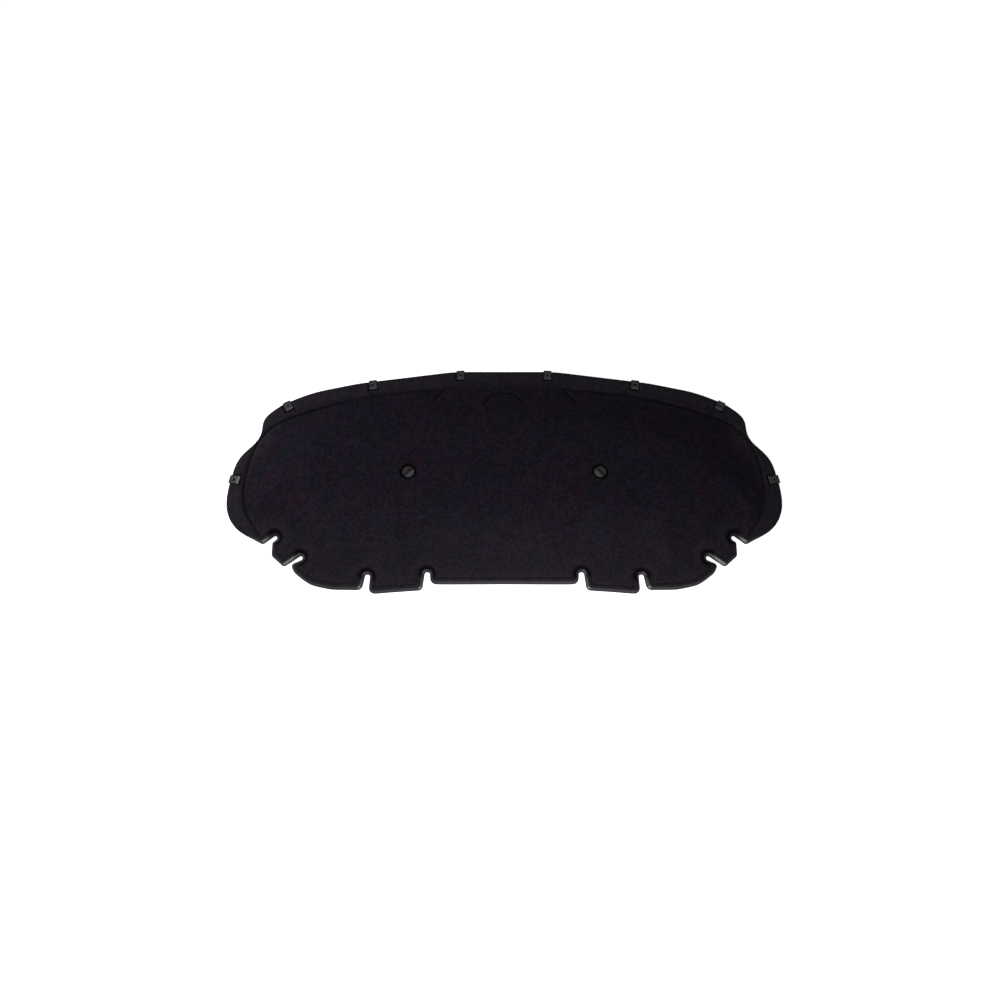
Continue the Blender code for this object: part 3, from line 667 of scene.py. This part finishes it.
def seat_rows():
    """Rows of points round the flat seat of each clip on the right."""
    rows = []
    for foot, across, out in (clip for name, clip in CLIPS.items() if "right" in name):
        edge_point = foot - out * CLIP_PROUD
        for extra in (0, SEAT_RUN / 2, SEAT_RUN):
            half, depth = SEAT_HALF + extra, SEAT_DEPTH + extra
            corners = np.array([(-half, 0), (-half, depth), (half, depth), (half, 0)])
            for a, b in zip(corners, corners[1:]):
                share = np.linspace(0, 1, round(np.linalg.norm(b - a) / ROW_STEP) + 1)[:, None]
                place = a + (b - a) * share
                rows.append((edge_point + place[:, :1] * across - place[:, 1:] * out, ROW_STEP))
    return rows


def face_rows(top):
    """Rows of points along everything that is pressed into a face."""
    rows = seat_rows() + (slot_rings() if top else [])
    rows += [(beside(EDGE, inset), max(0.0011, ROW_STEP * min(1, inset / 0.004)))
             for inset in (TOP_INSETS if top else BACK_INSETS)]
    if top:
        for path, width in [(GROOVE, GROOVE_WIDTH)] + [(path, CHANNEL_WIDTH) for path in CHANNELS]:
            rows += [(beside(path, side * share * width / 2), 0.0018)
                     for share in GROOVE_ROWS for side in (-1, 1)]
        rows += [(beside(EDGE, CREASE_INSET + k * CREASE_HALF_WIDTH), 0.0016) for k in (-1, 0, 1)]
        rows += [(ring(PIN, DIMPLE_FLOOR_RADIUS + DIMPLE_WALL_RUN * share, ROW_STEP), 0.0012)
                 for share in DIMPLE_ROWS]
    return rows


# %% [markdown]
# ## The felt pad
# The two faces and the cut wall between them make one half, and its mirror image the other.
# Felt is never quite flat, so slow and fast noise lift the pad a little, but not where the
# hardware grips it. How pressed and how deep each point is stays on the mesh for the finishes.

# %% Pad
WALL_ROWS = (0.10, 0.30, 0.50, 0.70, 0.90)
WAVE_SIZE, WAVE_HEIGHT = 0.16, 0.0007
LUMP_SIZE, LUMP_HEIGHT = 0.020, 0.00030
WALL_ROUGHNESS = 0.00022
PAD_SHARP = math.radians(58)
FACE, WALL, BACK = range(3)


def noise_at(points, size, seed):
    """Soft random values about 0 at places on the pad."""
    return np.array([noise.noise(Vector((x / size, y / size, seed))) for x, y in points])


def half_pad():
    """Places, triangles with their finish, and values of the right half."""
    middle = np.linspace(EDGE[-1], EDGE[0], round((EDGE[0, 1] - EDGE[-1, 1]) / TOP_GRID) + 1)[1:-1]
    loop = np.vstack([EDGE, middle]).astype(np.float32).astype(float)
    hole = ring(PIN, HOLE_RADIUS, 0.0015)
    places, faces, finishes, values = [], [], [], []
    for top, spacing in ((True, TOP_GRID), (False, BACK_GRID)):
        points, triangles = fill(loop, hole, face_rows(top), spacing)
        face_z, back_z, found = faces_at(points)
        first = sum(map(len, places))
        places.append(np.column_stack([points, face_z if top else back_z]))
        values.append({**found, "depth": np.full(len(points), 0.0 if top else 1.0)})
        faces += [tuple(first + t) if top else tuple(first + t[::-1]) for t in triangles]
        finishes += [FACE if top else BACK] * len(triangles)
    lower = len(places[0])
    rim, bore = len(EDGE), len(hole)
    outward = left_of(np.gradient(EDGE, axis=0))
    outward[[0, -1], 0] = 0
    above, below = places[0][:rim], places[1][:rim]
    rows = [np.arange(rim)]
    for k, share in enumerate(WALL_ROWS):
        fray = noise_at(EDGE, 0.004, 10 + k) * WALL_ROUGHNESS - WALL_ROUGHNESS
        row = above + (below - above) * share
        row[:, :2] += outward * fray[:, None]
        rows.append(np.arange(rim) + sum(map(len, places)))
        places.append(row)
        values.append({**{key: value[:rim] for key, value in values[0].items()},
                       "depth": np.full(rim, share)})
    rows.append(np.arange(rim) + lower)
    for one, two in zip(rows, rows[1:]):
        faces += [(one[i], one[i + 1], two[i + 1], two[i]) for i in range(rim - 1)]
        finishes += [WALL] * (rim - 1)
    start, end = len(loop), lower + len(loop)
    for i in range(bore):
        n = (i + 1) % bore
        faces.append((start + n, end + n, end + i, start + i))
        finishes.append(WALL)
    values = {key: np.concatenate([part[key] for part in values]) for key in values[0]}
    return np.vstack(places), faces, finishes, values


def whole_pad():
    """The pad's mesh: a half, its mirror image, and the felt's unevenness."""
    places, faces, finishes, values = half_pad()
    alone = np.abs(places[:, 0]) > 1e-7
    twin = np.where(alone, len(places) + np.cumsum(alone) - 1, np.arange(len(places)))
    faces += [tuple(twin[i] for i in reversed(face)) for face in faces]
    places = np.vstack([places, places[alone] * (-1, 1, 1)])
    values = {key: np.concatenate([value, value[alone]]) for key, value in values.items()}
    free = (1 - values["pressed"]) * smooth(values["inset"] / 0.05)
    body = smooth((values["inset"] - BORDER_WIDTH) / RISE_RUN)
    places[:, 2] += WAVE_HEIGHT * noise_at(places[:, :2], WAVE_SIZE, 3) * body * free
    on_top = values["depth"] == 0
    flat = places[:, :2]
    lumps = noise_at(flat, LUMP_SIZE, 7) + 0.6 * noise_at(flat, LUMP_SIZE / 2.4, 8)
    soft = (1 - values["pressed"]) * smooth(values["inset"] / 0.012)
    places[:, 2] += np.where(on_top, LUMP_HEIGHT * lumps * soft, 0)
    mesh = bpy.data.meshes.new("felt_pad")
    mesh.from_pydata(places.tolist(), [], faces)
    for key, value in values.items():
        mesh.attributes.new(key, "FLOAT", "POINT").data.foreach_set("value", value)
    mesh.polygons.foreach_set("material_index", finishes * 2)
    mesh.shade_smooth()
    mesh.set_sharp_from_angle(angle=PAD_SHARP)
    return mesh


pad = link("felt_pad", whole_pad())


# %% [markdown]
# ## Felt finishes
# Needled felt is a tangle of fine fibres. Three sheets of long thin noise, each turned
# another way, stand for them, and the strongest wins at each place, which gives crossing
# strands. Slower noise turns the black a little to purple or to blue, as the fibres are
# recycled ones of several dyes. Painted light makes the felt paler along the border and
# towards the front, as lamps at the front and the left would, and a greenish band along the
# edge is painted sheen of the curled shoulder. Painted shade turns it nearly black in the
# crescents round the slots, the crease, the channels, round the dimples and on the clip
# seats. The front is cut with a knife, so there the sloping rim shows the grey fibres of the
# core, and in the slots a pale line of them.

# %% Felt finishes
FELT_COOL_DARK = (0.0052, 0.0052, 0.0076)
FELT_COOL_LIGHT = (0.0126, 0.0122, 0.0174)
FELT_WARM_DARK = (0.0076, 0.0047, 0.0076)
FELT_WARM_LIGHT = (0.0184, 0.0110, 0.0180)
FELT_BLUE_DARK = (0.0055, 0.0046, 0.0098)
FELT_BLUE_LIGHT = (0.0134, 0.0112, 0.0222)
FELT_PAINTED_LIGHT = (0.0184, 0.0150, 0.0192)
FELT_EDGE_SHEEN = (0.0120, 0.0122, 0.0106)
FELT_PAINTED_SHADE = (0.0026, 0.0016, 0.0028)
FELT_BACK = (0.0100, 0.0100, 0.0108)
CUT_DARK = (0.028, 0.027, 0.030)
CUT_LIGHT = (0.052, 0.050, 0.054)
CUT_LIP = (0.012, 0.012, 0.013)
CORE_PALE = (0.20, 0.196, 0.204)
SCRIM = (0.010, 0.009, 0.011)


def strands(finish, scale, length, turns):
    """Crossing fibres from 0 to 1."""
    best = None
    for turn in turns:
        at = finish.stretched((1, 1 / length, 1), (0, 0, turn))
        strand = finish.noise(scale, 2.0, 0.55, 0.25, at).above(0.48, 0.74)
        best = strand if best is None else best.most(strand)
    return best


def bared(finish, shade, share):
    """The grey felt that a knife bared, over a shade."""
    fibres = strands(finish, 1500, 5, (0.1, 1.2))
    clumps = finish.noise(420, 3.0, 0.6)
    cut = finish.mix(fibres * 0.5 + clumps * 0.5, CUT_DARK, CUT_LIGHT)
    cut = finish.mix(finish.attribute("pale") * (0.45 + clumps * 0.8), cut, CORE_PALE)
    return finish.mix(share, shade, cut)


def felt_face():
    """The face: dark fibres with a mottle, painted light, sheen and shade, and the bared rim of
    the cut front.
    """
    finish = Finish("felt_face")
    inset = finish.attribute("inset") + (finish.noise(500, 3.0, 0.6) - 0.5) * 0.0012
    pressed = finish.attribute("pressed")
    fibres = strands(finish, 900, 9, (0.25, 1.35, 2.45))
    clumps = finish.noise(165, 3.0, 0.65).above(0.40, 0.60)
    patches = finish.noise(60, 2.0, 0.6).above(0.37, 0.63)
    tone = fibres * 0.24 + clumps * 0.56 + patches * 0.20
    border = 1 - inset.above(0.020, 0.050)
    warm = finish.noise(20, 2.0, 0.5).above(0.40, 0.60) * (1 - border * 0.7)
    at = finish.stretched((1, 1, 1), (0.7, 0.4, 1.1))
    blue = finish.noise(31, 2.0, 0.5, at=at).above(0.43, 0.61) * 0.45
    low, high = (finish.mix(blue, finish.mix(warm, cool, purple), deep) for cool, purple, deep in (
        (FELT_COOL_DARK, FELT_WARM_DARK, FELT_BLUE_DARK),
        (FELT_COOL_LIGHT, FELT_WARM_LIGHT, FELT_BLUE_LIGHT)))
    shade = finish.mix(tone, low, high)
    # Painted light: paler towards the front and along the border, as lamps at the front and the
    # left would light it.
    to_front = (finish.along("Y") * -1).above(0.02, 0.25)
    painted_light = (to_front * 0.45).most(border * 0.70) * (0.5 + tone)
    shade = finish.mix(painted_light, shade, FELT_PAINTED_LIGHT)
    # Painted sheen: a greenish paler band along the edge, where the shoulder curls down.
    edge = 1 - inset.above(0.0020, 0.0070)
    shade = finish.mix(edge * 0.6, shade, FELT_EDGE_SHEEN)
    # Painted shade: nearly black in the crescents round the slots, the crease, the channels, round
    # the dimples and on the clip seats.
    shade = finish.mix(finish.attribute("dark") * (0.80 + clumps * 0.25), shade, FELT_PAINTED_SHADE)
    rim = finish.attribute("at_front") * (1 - inset.above(0.0036, 0.0066))
    shade = bared(finish, shade, rim)
    lip = finish.attribute("by_slot") * (1 - inset.above(0.0010, 0.0019))
    shade = finish.mix(lip * 0.85, shade, CUT_LIP)
    pile = finish.noise(2600, 2.0, 0.6)
    lay = finish.bump(fibres + pile * 0.5, 0.00022, 0.75)
    return finish.surface(Base_Color=shade, Roughness=0.98 - pressed * 0.15, Normal=lay,
                          Specular_IOR_Level=0.01)


def felt_core():
    """The cut wall: packed fibres between two dark scrims."""
    finish = Finish("felt_core")
    depth = finish.attribute("depth") + (finish.noise(700, 2.0, 0.6) - 0.5) * 0.22
    scrim = (1 - depth.above(0.06, 0.20)).most(depth.above(0.80, 0.94))
    shut = 1 - finish.attribute("at_front").above(0.1, 0.7)
    shade = bared(finish, SCRIM, (1 - scrim * 0.7) * (1 - shut * 0.8))
    lay = finish.bump(finish.noise(900, 3.0, 0.6), 0.00035, 1.0)
    return finish.surface(Base_Color=shade, Roughness=1.0, Normal=lay, Specular_IOR_Level=0.01)


def felt_back():
    """The back face: a flatter scrim with a faint bonding pattern."""
    finish = Finish("felt_back")
    fibres = strands(finish, 700, 12, (0.0, 0.9, 2.0))
    clumps = finish.noise(150, 2.0, 0.5)
    shade = finish.mix(fibres * 0.5 + clumps * 0.5, FELT_COOL_DARK, FELT_BACK)
    lay = finish.bump(fibres, 0.00015, 0.8)
    return finish.surface(Base_Color=shade, Roughness=0.95, Normal=lay, Specular_IOR_Level=0.02)


for finish in (felt_face(), felt_core(), felt_back()):
    pad.data.materials.append(finish)
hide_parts("insulation_pad")
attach(pad, "root")

# %% [markdown]
# ## Stamped and bent clips
# A spring clip is a flat blank with rounded corners and a window, bent to a U whose lip
# flares open. Here the blank is filled with even triangles, each point is carried round the
# bent line, and the sheet gets its thickness and its rounded edges. How far a point is from
# the outer edge, the window and the lip's tip stays on the mesh, as the coat wears there, and
# at the lip and round the window it also carries a painted highlight.

# %% Clip
CLIP_WIDTH = 0.0175
CLIP_REACH = 0.0205
CLIP_LIP_RISE = 0.0028
CLIP_LIP_LENGTH = 0.0085
CLIP_LIP_CURVE = 1.6
CLIP_WINDOW_WIDTH = 0.0070
CLIP_WINDOW_START = 0.0053
CLIP_WINDOW_LENGTH = 0.0052
CLIP_CORNER = 0.0011
CLIP_BEVEL = 0.00016
BLANK_GRID = 0.0009
LEAF_STEPS = 12


def settle(piece):
    """Apply a piece's modifiers to its mesh and take them off."""
    bpy.context.view_layer.update()
    made = piece.evaluated_get(bpy.context.evaluated_depsgraph_get())
    mesh = bpy.data.meshes.new_from_object(made)
    piece.modifiers.clear()
    piece.data = mesh


def ease(piece, width, limit, sharp):
    """Bevel a piece's edges above a limit and shade it smooth up to a sharp angle, in degrees."""
    bevel = piece.modifiers.new("edges", "BEVEL")
    bevel.width = width
    bevel.segments = 2
    bevel.angle_limit = math.radians(limit)
    settle(piece)
    piece.data.shade_smooth()
    piece.data.set_sharp_from_angle(angle=math.radians(sharp))


def bent_line():
    """The middle line of the clip's strip, as distance in from the edge and height."""
    low = GAP + CLIP_STRIP / 2
    high = SEAT_TOP_Z + GAP + CLIP_STRIP / 2
    bend = (high - low) / 2
    middle = bend + CLIP_STRIP / 2 - CLIP_PROUD
    line = [(u, low) for u in np.linspace(CLIP_REACH, middle, 18)]
    line += [(middle - bend * math.sin(t), low + bend * (1 - math.cos(t)))
             for t in np.linspace(0, math.pi, 25)[1:]]
    lip = CLIP_REACH - CLIP_LIP_LENGTH
    line += [(u, high) for u in np.linspace(middle, lip, LEAF_STEPS)[1:]]
    line += [(lip + CLIP_LIP_LENGTH * s, high + CLIP_LIP_RISE * s ** CLIP_LIP_CURVE)
             for s in np.linspace(0, 1, LEAF_STEPS)[1:]]
    return np.array(line)


def rounded_box(low, high, radius, step):
    """A closed loop round a box with round corners."""
    loop = []
    corners = ((high[0], high[1]), (low[0], high[1]), (low[0], low[1]), (high[0], low[1]))
    for quarter, (x, y) in enumerate(corners):
        centre = (x - math.copysign(radius, x - (low[0] + high[0]) / 2),
                  y - math.copysign(radius, y - (low[1] + high[1]) / 2))
        for k in range(6):
            turn = math.pi / 2 * (quarter + k / 5)
            loop.append((centre[0] + radius * math.cos(turn), centre[1] + radius * math.sin(turn)))
    result = []
    for a, b in zip(np.array(loop), np.roll(loop, -1, axis=0)):
        pieces = max(1, round(np.linalg.norm(b - a) / step))
        result += [a + (b - a) * k / pieces for k in range(pieces)]
    return np.array(result)


def clip_piece():
    """One clip, its outermost point at the origin and its inside towards -Y."""
    line = bent_line()
    runs = np.linalg.norm(np.diff(line, axis=0), axis=1)
    along = np.concatenate([[0], np.cumsum(runs)])
    on_top = len(line) - 2 * LEAF_STEPS + 1
    window = np.interp((CLIP_WINDOW_START, CLIP_WINDOW_START + CLIP_WINDOW_LENGTH),
                       line[on_top:, 0], along[on_top:])
    half = CLIP_WIDTH / 2
    blank = rounded_box((-half, 0), (half, along[-1]), CLIP_CORNER, BLANK_GRID)
    hole = rounded_box((-CLIP_WINDOW_WIDTH / 2, window[0]), (CLIP_WINDOW_WIDTH / 2, window[1]),
                       CLIP_CORNER / 2, BLANK_GRID)
    points, triangles = fill(blank, hole, [], BLANK_GRID)
    places = [(s, -CLIP_PROUD - np.interp(t, along, line[:, 0]), np.interp(t, along, line[:, 1]))
              for s, t in points]
    mesh = bpy.data.meshes.new("clip_blank")
    mesh.from_pydata(places, [], triangles.tolist())
    for name, gap in (("from_cut", distance(points, np.vstack([blank, blank[:1]]))),
                      ("from_window", distance(points, np.vstack([hole, hole[:1]]))),
                      ("from_lip", along[-1] - points[:, 1])):
        mesh.attributes.new(name, "FLOAT", "POINT").data.foreach_set("value", gap)
    piece = link("clip_pattern", mesh)
    solid = piece.modifiers.new("strip", "SOLIDIFY")
    solid.thickness = CLIP_STRIP
    solid.offset = 0
    solid.use_even_offset = True
    ease(piece, CLIP_BEVEL, 50, 40)
    return piece


# %% [markdown]
# ## Finishes of the hardware
# The clips are spring steel under a thin black coat, which wears along the cut edges. At the
# lip and in patches round the window the paler coat is wear with a painted highlight on it.
# There the finish turns paler and a little metallic. The fasteners are moulded plastic with a
# fine grain. The pins' heads have painted light on their front half and painted shade in
# their slots.

# %% Hardware finishes
COAT_DARK = (0.003,) * 3
COAT_LIGHT = (0.012,) * 3
COAT_WEAR_AND_HIGHLIGHT = (0.20, 0.197, 0.192)
LIP_WEAR_AND_LIGHT = (0.0050, 0.0072)
CUT_WEAR = (0.0001, 0.0008)
WINDOW_WEAR_AND_HIGHLIGHT = (0.0006, 0.0024)
SLEEVE_DARK = (0.012, 0.011, 0.011)
SLEEVE_LIGHT = (0.028, 0.026, 0.026)
PIN_DARK = (0.014, 0.0108, 0.0118)
PIN_LIGHT = (0.040, 0.032, 0.036)
PIN_PAINTED_LIGHT = (0.078, 0.068, 0.074)
PIN_PAINTED_LIGHT_RUN = (0.0025, 0.0075)
PIN_SLOT_SHADE = (0.002,) * 3
PIN_SLOT_SHADE_EDGE = (0.0022, 0.0028)


def clip_steel():
    """Black coated spring steel, with wear and a painted highlight at the lip and round the
    window.
    """
    finish = Finish("clip_steel")
    rubbed = (finish.noise(600, 4.0, 0.65) - 0.5) * 0.0016
    # Wear along the cut edges; at the lip and in patches round the window, wear with a painted
    # highlight.
    lip = 1 - (finish.attribute("from_lip") + rubbed * 1.5).above(*LIP_WEAR_AND_LIGHT)
    cut = 1 - (finish.attribute("from_cut") + rubbed).above(*CUT_WEAR)
    spots = finish.noise(420, 2.0, 0.5).above(0.40, 0.62)
    window = (1 - (finish.attribute("from_window") + rubbed).above(*WINDOW_WEAR_AND_HIGHLIGHT)) * spots
    wear_and_highlight = (lip * 0.30).most(cut * (0.15 + lip * 0.30)).most(window * 0.85)
    scuffs = finish.noise(2400, 3.0, 0.6, at=finish.stretched((1, 0.15, 1), (0, 0, 0.6)))
    shade = finish.mix(wear_and_highlight * 0.6, finish.mix(scuffs, COAT_DARK, COAT_LIGHT), COAT_WEAR_AND_HIGHLIGHT)
    lay = finish.bump(finish.noise(1800, 3.0, 0.6), 0.00006, 0.8)
    return finish.surface(Base_Color=shade, Metallic=wear_and_highlight * 0.15, Normal=lay,
                          Specular_IOR_Level=0.20, Roughness=0.46 + scuffs * 0.16 + wear_and_highlight * 0.2)


def plastic(name, dark, light, roughness, slotted=False):
    """Moulded plastic with a spark-eroded grain, and for a pin's slotted head painted light on its
    front half and painted shade in its slot.
    """
    finish = Finish(name)
    grain = finish.noise(1900, 2.0, 0.5)
    cloud = finish.noise(160, 3.0, 0.6)
    streaks = finish.noise(900, 3.0, 0.7, at=finish.stretched((1, 0.2, 1), (0, 0, 0.9)))
    rub = streaks.above(0.55, 0.75)
    shade = finish.mix(cloud * 0.6 + rub * 0.4, dark, light)
    if slotted:
        across = (abs(finish.along("X")) - float(PIN[0]) + finish.along("Y") - float(PIN[1]))
        across = across * 0.5 ** 0.5
        # Painted light: the head's half towards the pad's front and middle is paler.
        shade = finish.mix((across * -1).above(*PIN_PAINTED_LIGHT_RUN) * 0.7, shade, PIN_PAINTED_LIGHT)
        # Painted shade in the head's slot.
        shade = finish.mix(1 - abs(across).above(*PIN_SLOT_SHADE_EDGE), shade, PIN_SLOT_SHADE)
    lay = finish.bump(grain, 0.00007, 0.9)
    return finish.surface(Base_Color=shade, Normal=lay, Specular_IOR_Level=0.16,
                          Roughness=roughness + grain * 0.16 - rub * 0.06)


# %% [markdown]
# ## Placing the clips with Geometry Nodes
# The eight clips are alike, so one pattern is set on eight points. Each point carries its
# turn, and the node tree puts a copy there, makes it real and gives it its finish.

# %% Clips on the edge
def repeated(name, pattern, places, turns, finish):
    """Copies of a pattern on points, each turned about Z."""
    mesh = bpy.data.meshes.new(name)
    mesh.from_pydata([tuple(place) for place in places], [], [])
    mesh.attributes.new("turn", "FLOAT_VECTOR", "POINT").data.foreach_set(
        "vector", [value for turn in turns for value in (0, 0, turn)])
    tree = bpy.data.node_groups.new(name, "GeometryNodeTree")
    for title, direction, kind in (("Points", "INPUT", "NodeSocketGeometry"),
                                   ("Pattern", "INPUT", "NodeSocketObject"),
                                   ("Finish", "INPUT", "NodeSocketMaterial"),
                                   ("Copies", "OUTPUT", "NodeSocketGeometry")):
        tree.interface.new_socket(title, in_out=direction, socket_type=kind)
    given, result, model, turn, copies, real, painted = map(tree.nodes.new, (
        "NodeGroupInput", "NodeGroupOutput", "GeometryNodeObjectInfo",
        "GeometryNodeInputNamedAttribute", "GeometryNodeInstanceOnPoints",
        "GeometryNodeRealizeInstances", "GeometryNodeSetMaterial"))
    turn.data_type = "FLOAT_VECTOR"
    turn.inputs["Name"].default_value = "turn"
    wire(tree, (given.outputs["Points"], copies.inputs["Points"]),
         (given.outputs["Pattern"], model.inputs["Object"]),
         (model.outputs["Geometry"], copies.inputs["Instance"]),
         (turn.outputs["Attribute"], copies.inputs["Rotation"]),
         (copies.outputs["Instances"], real.inputs["Geometry"]),
         (real.outputs["Geometry"], painted.inputs["Geometry"]),
         (given.outputs["Finish"], painted.inputs["Material"]),
         (painted.outputs["Geometry"], result.inputs["Copies"]))
    piece = link(name, mesh)
    copier = piece.modifiers.new("copies", "NODES")
    copier.node_group = tree
    sockets = {item.name: item.identifier for item in tree.interface.items_tree}
    copier[sockets["Pattern"]] = pattern
    copier[sockets["Finish"]] = finish
    settle(piece)
    bpy.data.objects.remove(pattern)
    return piece


clips = repeated("edge_clips", clip_piece(),
                 [(*foot, 0) for foot, _, _ in CLIPS.values()],
                 [math.atan2(out[1], out[0]) - math.pi / 2 for _, _, out in CLIPS.values()],
                 clip_steel())
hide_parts(*CLIP_NAMES)
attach(clips, "root")

# %% [markdown]
# ## Push fasteners
# Sleeve and pin are turned from a section with rounded corners. Boxes then split the
# sleeve's legs and cut the slot across the pin's head, and a small bevel breaks the edges.

# %% Fasteners
BARREL_RADIUS = 0.005
BORE_RADIUS = 0.0031
FLANGE_RADIUS = 0.0124
FLANGE_THICKNESS = 0.0016
BARB_RADIUS = 0.0063
BARB_DROP = 0.0040
BARB_SLOPE = 0.0012
LEG_TIP_RADIUS = 0.0043
LEG_SPLIT = 0.0014
FLOOR_CLEARANCE = 0.0012
HEAD_RADIUS = 0.0135
HEAD_RIM = 0.0009
HEAD_CROWN = 0.0026
HEAD_SLOT_WIDTH = 0.0055
HEAD_SLOT_DEPTH = 0.0017
PIN_TIP = 0.0016
BARB_FLAT = 0.0007
SPLIT_ABOVE_BARB = 0.0015
TIP_SHARE = 0.6
CROWN_STEPS = 16
SLEEVE_BEVEL, PIN_BEVEL = 0.00012, 0.00022
FLANGE_BACK_Z = DIMPLE_FLOOR_Z + GAP
FLANGE_TOP_Z = FLANGE_BACK_Z + FLANGE_THICKNESS
HEAD_BACK_Z = FLANGE_TOP_Z + GAP
CROWN_Z = HEAD_BACK_Z + HEAD_RIM + HEAD_CROWN
BARB_TOP_Z = HOLLOW_DEPTH - BARB_DROP
SIDES = 96


def turned(name, profile, closed):
    """A solid turned about Z from a section of (radius, height, rounding)."""
    section = []
    count = len(profile)
    for i, (radius, height, rounding) in enumerate(profile):
        here = np.array((radius, height))
        if not rounding:
            section.append(here)
            continue
        back = np.array(profile[i - 1][:2]) - here
        ahead = np.array(profile[(i + 1) % count][:2]) - here
        start = here + back / np.linalg.norm(back) * rounding
        end = here + ahead / np.linalg.norm(ahead) * rounding
        for t in np.linspace(0, 1, 5):
            section.append((1 - t) ** 2 * start + 2 * t * (1 - t) * here + t * t * end)
    work = bmesh.new()
    turns = np.arange(SIDES) * 2 * math.pi / SIDES
    rows = []
    for radius, height in section:
        if radius < 1e-9:
            rows.append([work.verts.new((0, 0, height))] * SIDES)
        else:
            rows.append([work.verts.new((radius * math.cos(t), radius * math.sin(t), height))
                         for t in turns])
    for lower, upper in zip(rows, rows[1:] + (rows[:1] if closed else [])):
        for k in range(SIDES):
            n = (k + 1) % SIDES
            work.faces.new(dict.fromkeys((lower[k], lower[n], upper[n], upper[k])))
    bmesh.ops.recalc_face_normals(work, faces=work.faces)
    mesh = bpy.data.meshes.new(name)
    work.to_mesh(mesh)
    work.free()
    return link(name, mesh)


def cut_away(piece, size, centre, turn):
    """Take a turned box out of a piece."""
    bpy.ops.mesh.primitive_cube_add(size=1, location=centre, rotation=(0, 0, turn))
    box = bpy.context.object
    box.scale = size
    boolean = piece.modifiers.new("cut", "BOOLEAN")
    boolean.object = box
    boolean.solver = "EXACT"
    settle(piece)
    bpy.data.objects.remove(box)


def sleeve():
    """The flanged sleeve with its split legs."""
    piece = turned("sleeve_pattern", [
        (BORE_RADIUS, FLANGE_TOP_Z, 0.0003),
        (BORE_RADIUS, FLOOR_CLEARANCE, 0.0003),
        (LEG_TIP_RADIUS, FLOOR_CLEARANCE, 0.0004),
        (BARB_RADIUS, BARB_TOP_Z - BARB_SLOPE - BARB_FLAT, 0.0003),
        (BARB_RADIUS, BARB_TOP_Z - BARB_SLOPE, 0.0003),
        (BARREL_RADIUS, BARB_TOP_Z, 0.0003),
        (BARREL_RADIUS, FLANGE_BACK_Z, 0.0005),
        (FLANGE_RADIUS, FLANGE_BACK_Z, 0.0004),
        (FLANGE_RADIUS, FLANGE_TOP_Z, 0.0005)], True)
    top = BARB_TOP_Z + SPLIT_ABOVE_BARB
    length = top - FLOOR_CLEARANCE + 0.002
    for k in range(2):
        cut_away(piece, (4 * BARB_RADIUS, LEG_SPLIT, length), (0, 0, top - length / 2),
                 math.pi / 4 + k * math.pi / 2)
    ease(piece, SLEEVE_BEVEL, 38, 42)
    return piece


def pin(turn):
    """The pin, its head's slot turned by an angle."""
    shaft = BORE_RADIUS - GAP
    tip = FLOOR_CLEARANCE + PIN_TIP
    rim = HEAD_BACK_Z + HEAD_RIM
    profile = [(0, tip, 0), (shaft * TIP_SHARE, tip, 0.0003), (shaft, tip + PIN_TIP, 0.0004),
               (shaft, HEAD_BACK_Z, 0), (HEAD_RADIUS, HEAD_BACK_Z, 0.0003),
               (HEAD_RADIUS, rim, 0.0004)]
    for k in range(1, CROWN_STEPS):
        share = math.pi / 2 * k / CROWN_STEPS
        profile.append((HEAD_RADIUS * math.cos(share), rim + HEAD_CROWN * math.sin(share), 0))
    piece = turned("pin_pattern", [*profile, (0, CROWN_Z, 0)], False)
    cut_away(piece, (3 * HEAD_RADIUS, HEAD_SLOT_WIDTH, 2 * HEAD_SLOT_DEPTH), (0, 0, CROWN_Z), turn)
    ease(piece, PIN_BEVEL, 38, 42)
    return piece


sleeve_finish = plastic("sleeve_plastic", SLEEVE_DARK, SLEEVE_LIGHT, 0.42)
pin_finish = plastic("pin_plastic", PIN_DARK, PIN_LIGHT, 0.33, True)
for side, sign in (("left", -1), ("right", 1)):
    centre = [(sign * PIN[0], PIN[1], 0)]
    for part, pattern, finish in (("sleeve", sleeve(), sleeve_finish),
                                  ("pin", pin(-sign * math.pi / 4), pin_finish)):
        piece = repeated(f"push_{part}_{side}", pattern, centre, [0], finish)
        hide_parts(f"fastener_{part}_{side}")
        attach(piece, "root")
